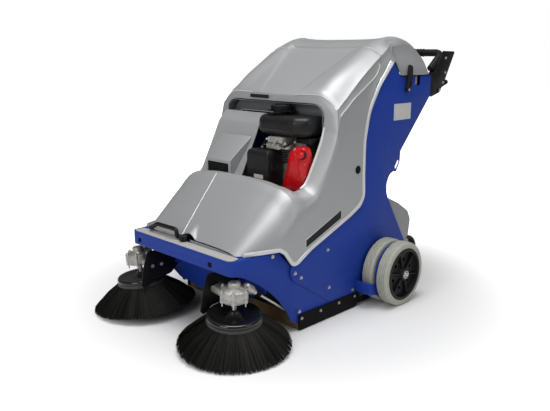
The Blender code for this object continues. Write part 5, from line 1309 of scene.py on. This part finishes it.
AXLE_PROFILE = [(0.0, 0.4508), (0.0032, 0.4504), (0.0058, 0.4490), (0.0074, 0.4466),
                (0.0080, 0.4436), (0.0096, 0.4420), (0.0100, 0.4400), (0.0100, 0.3540),
                (0.0240, 0.3540), (0.0300, 0.3520), (0.0880, 0.3540), (0.0960, 0.3610),
                (0.1000, 0.3700), (HUB_EDGE, 0.3716), (HUB_EDGE, 0.3244), (0.1000, 0.3260),
                (0.0960, 0.3350), (0.0880, 0.3420), (0.0300, 0.3440), (0.0240, 0.3420),
                (0.0100, 0.3420), (0.0100, 0.2960), (0.0090, 0.2953), (0.0, 0.2953)]


def tyre_profile(grooves):
    """Half round from one wall over the tread to the other, with its grooves."""
    wall = [(SEAT, -TYRE_HALF), (0.1090, -TYRE_HALF), (0.1155, -0.0238), (0.1205, -0.0222),
            (0.1235, -0.0196), (0.1248, -0.0165)]
    tread = []
    for k in range(grooves):
        centre = -0.0125 + 0.0250 * k / (grooves - 1)
        tread += [(0.1250, centre - 0.0014), (0.1228, centre - 0.0007), (0.1228, centre + 0.0007),
                  (0.1250, centre + 0.0014)]
    return wall + tread + [(r, -x) for r, x in wall[::-1]]


def wheel_pair(side, word):
    """Both tyres, the ribbed hub with its ring, and the axle with its domed end, of one side."""
    body = "wheels_" + word
    for where, x in (("outer", OUTER_X), ("inner", INNER_X)):
        tyre = turned(f"tyre_{where}_form_{word}", tyre_profile(4),
                      stood((side * x, 0.0, WHEEL_Z), (side, 0, 0)), 120, tyre_grey, body, True, 30.0)
        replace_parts(tyre, f"tyre_{where}_{word}")
    stand = stood((side * OUTER_X, 0.0, WHEEL_Z), (side, 0, 0))
    hub = spun("hub", HUB_PROFILE, stand, 96, closed=True)
    for k in range(HUB_RIBS):
        turn = math.radians(360 / HUB_RIBS * k + 18)
        rib = cube("rib", (0.0200, -0.0030, -0.0020), (0.0910, 0.0030, 0.0205))
        picked(rib, lambda f: f.normal.z > 0.9)
        bpy.ops.transform.resize(value=(1.0, 0.60, 1.0), center_override=(0.0, 0.0, 0.0205))
        shut(rib)
        rib.data.transform(stand @ Matrix.Rotation(turn, 4, "Z"))
        cut(hub, rib, "UNION")
    for k in range(HUB_RIBS):
        turn = math.radians(360 / HUB_RIBS * k + 48)
        at = stand @ Vector((0.0560 * math.cos(turn), 0.0560 * math.sin(turn), 0.0))
        out = stand.to_3x3() @ Vector((0.0, 0.0, 1.0))
        cut(hub, pin("hub_hole", 0.0075, at - out * 0.03, at + out * 0.03, 20))
    hub = place("wheel_hub_form_" + word, taken(hub), black_plastic, body, 32.0)
    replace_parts(hub, "wheel_hub_" + word)
    turned("hub_ring_" + word, HUB_RING, stand, 40, zinc, body, closed=True)
    turned("nut_seat_" + word, NUT_SEAT, stand, 40, black_plastic, body, closed=True)
    axle = turned("axle_form_" + word, AXLE_PROFILE, stood((0.0, 0.0, WHEEL_Z), (side, 0, 0)), 64,
                  zinc, body)
    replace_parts(axle, "wheel_axle_" + word)


def wheel_case(side, word):
    """Pressed sheet between the twin tyres, carried by a small box from the side panel."""
    arc = [(CASE_RADIUS * math.cos(a), WHEEL_Z + CASE_RADIUS * math.sin(a))
           for a in [math.radians(-35 + 225 * k / 45) for k in range(46)]]
    foot = [(-0.1200, 0.0980), (-0.1520, 0.1100), (-0.1520, 0.0620), (-0.1200, 0.0580),
            (-0.0700, 0.0400), (0.0, 0.0300)]
    sheet = slab("case_sheet", arc + foot, side * 0.3790, side * 0.3830,
                 holes=[circle((0.0, WHEEL_Z), 0.0130, 32)])
    outline = rounded([(-0.1320, 0.1020), (-0.1520, 0.1100), (-0.1520, 0.0640), (-0.1320, 0.0640)],
                      0.003, 3)
    box = slab("case_box", outline, side * 0.3166, side * 0.3792)
    case = joined(soften(sheet, 0.0008, 2), soften(box, 0.0010, 2))
    sheet = place("case_form_" + word, taken(case), blue, "chassis", 32.0)
    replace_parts(sheet, "wheel_case_" + word)
    bolts("case_bolt_" + word, "chassis",
          [(Vector((side * 0.3480, -0.1520, 0.0900)), Vector((0, -1, 0)), 0.0036)], blue)


for turn_side, side_word in SIDES:
    wheel_pair(turn_side, side_word)
    wheel_case(turn_side, side_word)


# Side panels. Blue sheet with its bolts, a blank pale plate, a black gasket under the moulding,
# a rubber skirt along the brush and behind it a narrow black strip that paints the shade under
# the wheel case's box.
PANEL_X = 0.3163
PANEL_BOLTS = [(-0.490, 0.220), (-0.459, 0.197), (-0.467, 0.073), (-0.307, 0.121), (-0.319, 0.268),
               (-0.1660, 0.0750)]
SKIRT_BOLTS = [(-0.457, 0.046), (-0.356, 0.046), (-0.252, 0.046), (-0.158, 0.047)]
BLANK_PLATE = [(0.0580, 0.7030), (0.1720, 0.7030), (0.1720, 0.7660), (0.0580, 0.7660)]
SKIRT = [(-0.4700, 0.0020), (-0.1330, 0.0020), (-0.1330, 0.0580), (-0.4700, 0.0580)]


def side_dress(side, word):
    """Panel, bolts, gasket, the notch's pieces, skirt, shade strip and bearing of one side."""
    refined("side_panel_" + word, 0.0008)
    out = Vector((side, 0.0, 0.0))
    bolts("panel_bolts_" + word, "chassis",
          [(Vector((side * PANEL_X, y, z)), out, 0.0052) for y, z in PANEL_BOLTS]
          + [(Vector((side * 0.3008, -0.583, 0.298)), Vector((side, -0.12, 0.0)), 0.0050)])
    if side > 0:
        plate = slab("blank_plate", rounded(BLANK_PLATE, 0.0025, 3), PANEL_X, PANEL_X + 0.0006)
        place("blank_plate_left", taken(plate), pale_field, "chassis")
    block("panel_gasket_" + word, (side * (PANEL_X + 0.0004), 0.0960, 0.8690),
          (side * 0.3200, 0.3000, 0.8727), 0.0008, rubber, "chassis")
    block("notch_tab_" + word, (side * 0.3090, 0.1965, 0.8340), (side * 0.3128, 0.2110, 0.8680),
          0.0008, grey_plastic, "chassis")
    block("notch_back_" + word, (side * 0.3070, 0.2112, 0.8340), (side * 0.3088, 0.2290, 0.8680),
          0.0005, black_plastic, "chassis", 1)
    skirt = slab("skirt", rounded(SKIRT, [0.008, 0.034, 0.003, 0.003], 8), side * 0.3133,
                 side * 0.3203)
    skirt = place("skirt_form_" + word, taken(soften(skirt, 0.0010, 2)), rubber, "chassis")
    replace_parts(skirt, "side_skirt_" + word)
    bolts("skirt_bolts_" + word, "chassis",
          [(Vector((side * 0.3203, y, z)), out, 0.0044) for y, z in SKIRT_BOLTS])
    # Painted shade: a black strip put where the shade falls under the wheel case's box, between the skirt and
    # the tyre.
    block("case_shade_strip_" + word, (side * 0.3168, -0.1320, 0.0120), (side * 0.3205, -0.0300, 0.0340),
          0.0010, rubber, "chassis")
    refined("axle_bearing_" + word, 0.0006)


for turn_side, side_word in SIDES:
    side_dress(turn_side, side_word)


# Front. The bent blue frame with its grip pad, the hood's lifting bar, the lobed latch knob and
# the black plugs in its two square holes, over the floor and the castor's crossmember.
refined("front_frame", 0.0007)
refined("chassis_floor", 0.0007)
refined("front_crossmember", 0.0010)
pad = slab("pad", rounded([(0.2680, -0.7030), (0.2780, -0.7470), (-0.2780, -0.7470), (-0.2680, -0.7030)],
                          [0.010, 0.034, 0.034, 0.010], 8), 0.3093, 0.3117, "xy")
cut(pad, pin("pad_hole", 0.0075, (*KNOB_AT, 0.30), (*KNOB_AT, 0.33), 24))
pad = place("pad_form", taken(soften(pad, 0.0007, 2)), pad_grey, "chassis")
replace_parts(pad, "bumper_pad")
for k, x in enumerate((-0.2340, 0.1740)):
    block(f"bumper_plug_{k}", (x - 0.0150, -0.7458, 0.2655), (x + 0.0150, -0.7440, 0.2915), 0.0004,
          rubber, "chassis", 1)
bar_path = rounded([(-0.2140, -0.7035, 0.3225), (-0.2140, -0.7125, 0.3225), (-0.1680, -0.7125, 0.3470),
                    (-0.0530, -0.7125, 0.3480), (-0.0510, -0.7125, 0.3225), (-0.0510, -0.7035, 0.3225)],
                   [0, 0.004, 0.020, 0.012, 0.004, 0], 6, closed=False)
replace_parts(bar("grab_form", bar_path, 0.0078, black_paint, "hood", 20), "grab_bar")


def latch_knob():
    """Lobed knob on its stem with a soft top and a pressed middle."""
    outline = []
    for k in range(60):
        turn = 2 * math.pi * k / 60
        r = 0.0158 + 0.0020 * math.cos(5 * turn)
        outline.append((r * math.cos(turn), r * math.sin(turn)))
    knob = slab("knob", outline, 0.3155, 0.3320, "xy")
    knob.data.transform(Matrix.Translation((*KNOB_AT, 0.0)))
    picked(knob, lambda f: f.normal.z > 0.9)
    bpy.ops.mesh.extrude_region_move(TRANSFORM_OT_translate={"value": (0.0, 0.0, 0.0016)})
    bpy.ops.transform.resize(value=(0.84, 0.84, 1.0), center_override=(*KNOB_AT, 0.3336))
    bpy.ops.mesh.extrude_region_move(TRANSFORM_OT_translate={"value": (0.0, 0.0, -0.0014)})
    bpy.ops.transform.resize(value=(0.60, 0.60, 1.0), center_override=(*KNOB_AT, 0.3322))
    shut(knob)
    stem = pin("stem", 0.0052, (*KNOB_AT, 0.3094), (*KNOB_AT, 0.3165), 24)
    made = place("latch_form", taken(joined(knob, stem)), black_plastic, "latch_knob", 40.0)
    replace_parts(made, "latch_knob")


latch_knob()


# Handle. Two black brackets with folded front flanges carry the bar between them, and the drive
# lever lies under it; the hand lever is on the left panel.
BRACKET = [(0.3960, 0.9640), (0.4888, 0.9620), (0.4220, 0.8480), (0.3840, 0.7960), (0.3200, 0.7800),
           (0.3085, 0.7900), (0.3085, 0.8660), (0.3400, 0.8760)]
LEVER_PIVOT = (0.3760, 0.8060)
BAR_AT = (0.4150, 0.9560)
BAR_HALF = 0.2947
LEVER_HALF = 0.2970
PIVOT_END_X = 0.3168


def handle_bracket(side, word):
    """Plate with its fold along the front edge, its bolts and the end of the lever's pivot."""
    outline = rounded(BRACKET, [0.006, 0.006, 0.012, 0.012, 0.010, 0.004, 0.010, 0.030], 5)
    plate = slab("bracket", outline, side * 0.3100, side * 0.3130,
                 holes=[circle(LEVER_PIVOT, 0.0069, 24)])
    fold = [Vector(p) for p in ((0.3086, 0.8660), (0.3240, 0.8720), (0.3420, 0.8830), (0.3620, 0.9020),
                                (0.3780, 0.9270), (0.3900, 0.9560))]
    other = [p + Vector((0.0026, -0.0016)) for p in fold]
    flange = slab("bracket_fold", fold + other[::-1], side * 0.2880, side * 0.3115)
    both = joined(soften(plate, 0.0006, 2), soften(flange, 0.0005, 1))
    made = place("bracket_form_" + word, taken(both), black_paint, "chassis", 32.0)
    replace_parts(made, "handle_bracket_" + word)
    out = Vector((side, 0.0, 0.0))
    bolts("bracket_bolts_" + word, "chassis",
          [(Vector((side * 0.3130, y, z)), out, 0.0048)
           for y, z in ((0.419, 0.936), (0.420, 0.877), (0.406, 0.836))])
    end = [(0.0, 0.0036), (0.0044, 0.0034), (0.0072, 0.0020), (0.0072, 0.0), (0.0, 0.0)]
    turned("pivot_end_" + word, end, stood((side * 0.3172, *LEVER_PIVOT), (side, 0, 0)), 24, zinc,
           "drive_lever")


for turn_side, side_word in SIDES:
    handle_bracket(turn_side, side_word)
bar_path = rounded([(-BAR_HALF, 0.3340, 0.8920), (-BAR_HALF, *BAR_AT), (BAR_HALF, *BAR_AT),
                    (BAR_HALF, 0.3340, 0.8920)], [0, 0.030, 0.030, 0], 10, closed=False)
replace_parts(bar("handlebar_form", bar_path, 0.0148, black_plastic, "chassis", 24), "handlebar")
GRIP_RING = [(0.0140, -0.0022), (0.0166, -0.0012), (0.0166, 0.0012), (0.0140, 0.0022)]
for grip_x, side_word in ((0.1500, "left"), (-0.1500, "right")):
    rings = [spun("grip_ring", GRIP_RING, stood((grip_x + 0.0140 * (k - 4), *BAR_AT), (1, 0, 0)), 28,
                  closed=True) for k in range(9)]
    place("grip_" + side_word, taken(joined(*rings)), rubber, "chassis", 40.0)
lever_path = rounded([(-PIVOT_END_X, *LEVER_PIVOT), (-LEVER_HALF, *LEVER_PIVOT),
                      (-LEVER_HALF, 0.4770, 0.8390), (LEVER_HALF, 0.4770, 0.8390),
                      (LEVER_HALF, *LEVER_PIVOT), (PIVOT_END_X, *LEVER_PIVOT)],
                     [0, 0.009, 0.022, 0.022, 0.009, 0], 8, closed=False)
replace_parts(bar("drive_lever_form", lever_path, 0.0064, black_paint, "drive_lever", 16), "drive_lever")


def hand_lever():
    """Cranked lever on the left panel with a hollow in its face, its boss and pivot bolt."""
    outline = rounded([(0.1190, 0.8200), (0.1240, 0.8100), (0.1310, 0.8075), (0.1410, 0.8130),
                       (0.1430, 0.8260), (0.1530, 0.8500), (0.1530, 0.9050), (0.1290, 0.9160),
                       (0.1270, 0.8600)],
                      [0.006, 0.008, 0.008, 0.008, 0.010, 0.012, 0.008, 0.006, 0.012], 4)
    arm = soften(slab("hand_arm", outline, 0.3228, 0.3330), 0.0024, 3, 50.0)
    hollow = rounded([(0.1330, 0.8260), (0.1400, 0.8300), (0.1460, 0.8480), (0.1360, 0.8480)],
                     0.003, 3)
    cut(arm, slab("arm_hollow", hollow, 0.3300, 0.3400))
    boss = pin("hand_boss", 0.0062, (0.3167, 0.1300, 0.8200), (0.3240, 0.1300, 0.8200), 24)
    made = place("hand_lever_form", taken(joined(arm, boss)), black_plastic, "side_lever", 32.0)
    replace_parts(made, "side_lever")
    bolts("hand_lever_bolt", "side_lever",
          [(Vector((0.3328, 0.1300, 0.8180)), Vector((1, 0, 0)), 0.0044)])


hand_lever()


# Rear. The folded blue cover, the dust filter, and the grey hopper between its rails, on its own
# ribbed wheels.
refined("rear_cover", 0.0006)
refined("dust_filter", 0.0020)
refined("hopper", 0.0010, 30.0)
for _, side_word in SIDES:
    refined("hopper_rail_" + side_word, 0.0005)
HOPPER_AXLE = (0.3120, 0.1080)
HOPPER_RIBS = 6
HOPPER_WHEEL = [(0.0086, 0.0140), (0.0180, 0.0140), (0.0200, 0.0100), (0.0220, 0.0050),
                (0.0520, 0.0050), (0.0540, 0.0100), (0.0560, 0.0135), (0.0620, 0.0140),
                (0.0664, 0.0126), (0.0680, 0.0090), (0.0680, 0.0040), (0.0668, 0.0026),
                (0.0668, -0.0026), (0.0680, -0.0040), (0.0680, -0.0090), (0.0664, -0.0126),
                (0.0620, -0.0140), (0.0560, -0.0135), (0.0540, -0.0050), (0.0200, -0.0050),
                (0.0180, -0.0140), (0.0086, -0.0140)]


def hopper_wheel(side):
    """One ribbed wheel of the hopper on the end of their common axle."""
    stand = stood((side * 0.2280, *HOPPER_AXLE), (side, 0, 0))
    wheel = spun("hopper_wheel", HOPPER_WHEEL, stand, 72, closed=True)
    for k in range(HOPPER_RIBS):
        rib = cube("rib", (0.0180, -0.0020, 0.0040), (0.0550, 0.0020, 0.0110))
        rib.data.transform(stand @ Matrix.Rotation(math.radians(360 / HOPPER_RIBS * k), 4, "Z"))
        cut(wheel, rib, "UNION")
    return wheel


axle = pin("hopper_axle", 0.0080, (-0.2520, *HOPPER_AXLE), (0.2520, *HOPPER_AXLE), 32)
made = place("hopper_wheels_form", taken(joined(axle, hopper_wheel(1), hopper_wheel(-1))),
             black_plastic, "hopper_wheels", 32.0)
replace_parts(made, "hopper_wheels")


# Under the machine. The castor, the rubber flaps and the clamp bar of the front one, the sweeping
# cylinder's chevron rows of bristles, the housing, the deck and the rest of the engine.
CASTOR_AT = (0.0, -0.5250, 0.0350)
CASTOR_TYRE = [(0.0230, 0.0100), (0.0305, 0.0100), (0.0338, 0.0080), (0.0350, 0.0040),
               (0.0350, -0.0040), (0.0338, -0.0080), (0.0305, -0.0100), (0.0230, -0.0100)]
CASTOR_CORE = [(0.0, 0.0123), (0.0110, 0.0123), (0.0125, 0.0110), (0.0135, 0.0040),
               (0.0215, 0.0040), (0.0231, 0.0096), (0.0231, -0.0096), (0.0215, -0.0040),
               (0.0135, -0.0040), (0.0125, -0.0110), (0.0110, -0.0123), (0.0, -0.0123)]
FLAP_HALF = 0.3080
BRUSH_AT = Vector((0.0, -0.2860, 0.1070))
BRUSH_HALF = 0.2898
BRUSH_ROWS = 9
TUFTS_A_ROW = 430
TUFT_ROOT, TUFT_BEND, TUFT_TIP = 0.0500, 0.0780, 0.1042
BRUSH_CORE = [(0.0, 0.3092), (0.0112, 0.3092), (0.0119, 0.3082), (0.0119, 0.2900),
              (0.0480, 0.2895), (0.0510, 0.2870), (0.0510, -0.2870), (0.0480, -0.2895),
              (0.0119, -0.2900), (0.0119, -0.3082), (0.0112, -0.3092), (0.0, -0.3092)]
refined("castor_fork", 0.0006)
turned("castor_core", CASTOR_CORE, stood(CASTOR_AT, (1, 0, 0)), 60, grey_plastic, "castor_wheel")
tyre = turned("castor_tyre", CASTOR_TYRE, stood(CASTOR_AT, (1, 0, 0)), 60, rubber, "castor_wheel",
              closed=True)
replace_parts(tyre, "castor_wheel")
refined("brush_housing", 0.0006)
refined("engine_deck", 0.0006)
refined("engine_block", 0.0030)
refined("rear_flap", 0.0008)
refined("front_flap", 0.0008)
block("flap_strip", (-FLAP_HALF, -0.4656, 0.0560), (FLAP_HALF, -0.4644, 0.0900), 0.0004, rubber,
      "chassis", 1)
block("flap_clamp", (-FLAP_HALF, -0.4668, 0.1060), (FLAP_HALF, -0.4644, 0.1280), 0.0006,
      black_paint, "chassis")
bolts("clamp_bolts", "chassis",
      [(Vector((-0.270 + 0.090 * k, -0.4668, 0.1170)), Vector((0, -1, 0)), 0.0044)
       for k in range(7)])


def sweeping_brush():
    """Core with its shaft, and the bristle rows that wind from both ends to the middle."""
    lot = random.Random(5)
    strands = []
    for row in range(BRUSH_ROWS):
        for k in range(TUFTS_A_ROW):
            x = -BRUSH_HALF + 2 * BRUSH_HALF * (k + 0.8 * lot.random()) / TUFTS_A_ROW
            turn = 2 * math.pi * row / BRUSH_ROWS + math.radians(24) * (1 - abs(x) / BRUSH_HALF)
            turn += 0.10 * (lot.random() - 0.5)
            bend = turn + 0.05 * (lot.random() - 0.5)
            tip_x = min(max(x + 0.006 * (lot.random() - 0.5), -BRUSH_HALF), BRUSH_HALF)
            reach = TUFT_TIP - 0.0016 * lot.random() ** 2
            strands.append(((Vector((x, TUFT_ROOT * math.cos(turn), TUFT_ROOT * math.sin(turn))),
                             Vector((x, TUFT_BEND * math.cos(turn), TUFT_BEND * math.sin(turn))),
                             Vector((tip_x, reach * math.cos(bend), reach * math.sin(bend)))),
                            0.0011, lot.random()))
    piece = bristle_mesh("sweeping_bristles", strands)
    piece.data.transform(Matrix.Translation(BRUSH_AT))
    made = place("sweeping_bristles", taken(piece), bristle_black, "main_brush", 60.0)
    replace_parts(made, "main_brush")
    turned("brush_core", BRUSH_CORE, stood(BRUSH_AT, (1, 0, 0)), 48, grey_plastic, "main_brush")


sweeping_brush()


def silencer():
    """Muffler can with rolled seams, two strap rings and its stub."""
    stand = stood((0.1300, -0.1000, 0.6000), (1, 0, 0))
    half = [(0.0, 0.0750), (0.0340, 0.0750), (0.0380, 0.0735), (0.0416, 0.0745), (0.0420, 0.0725),
            (0.0408, 0.0705), (0.0408, 0.0260), (0.0418, 0.0240), (0.0418, 0.0200), (0.0408, 0.0180)]
    can = spun("can", half + [(r, -x) for r, x in half[::-1]], stand, 64)
    stub = pin("stub", 0.0118, (0.1000, -0.1100, 0.6000), (0.1000, -0.1794, 0.6000), 28)
    made = place("muffler_form", taken(cut(can, stub, "UNION")), black_paint, "chassis")
    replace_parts(made, "muffler")


silencer()
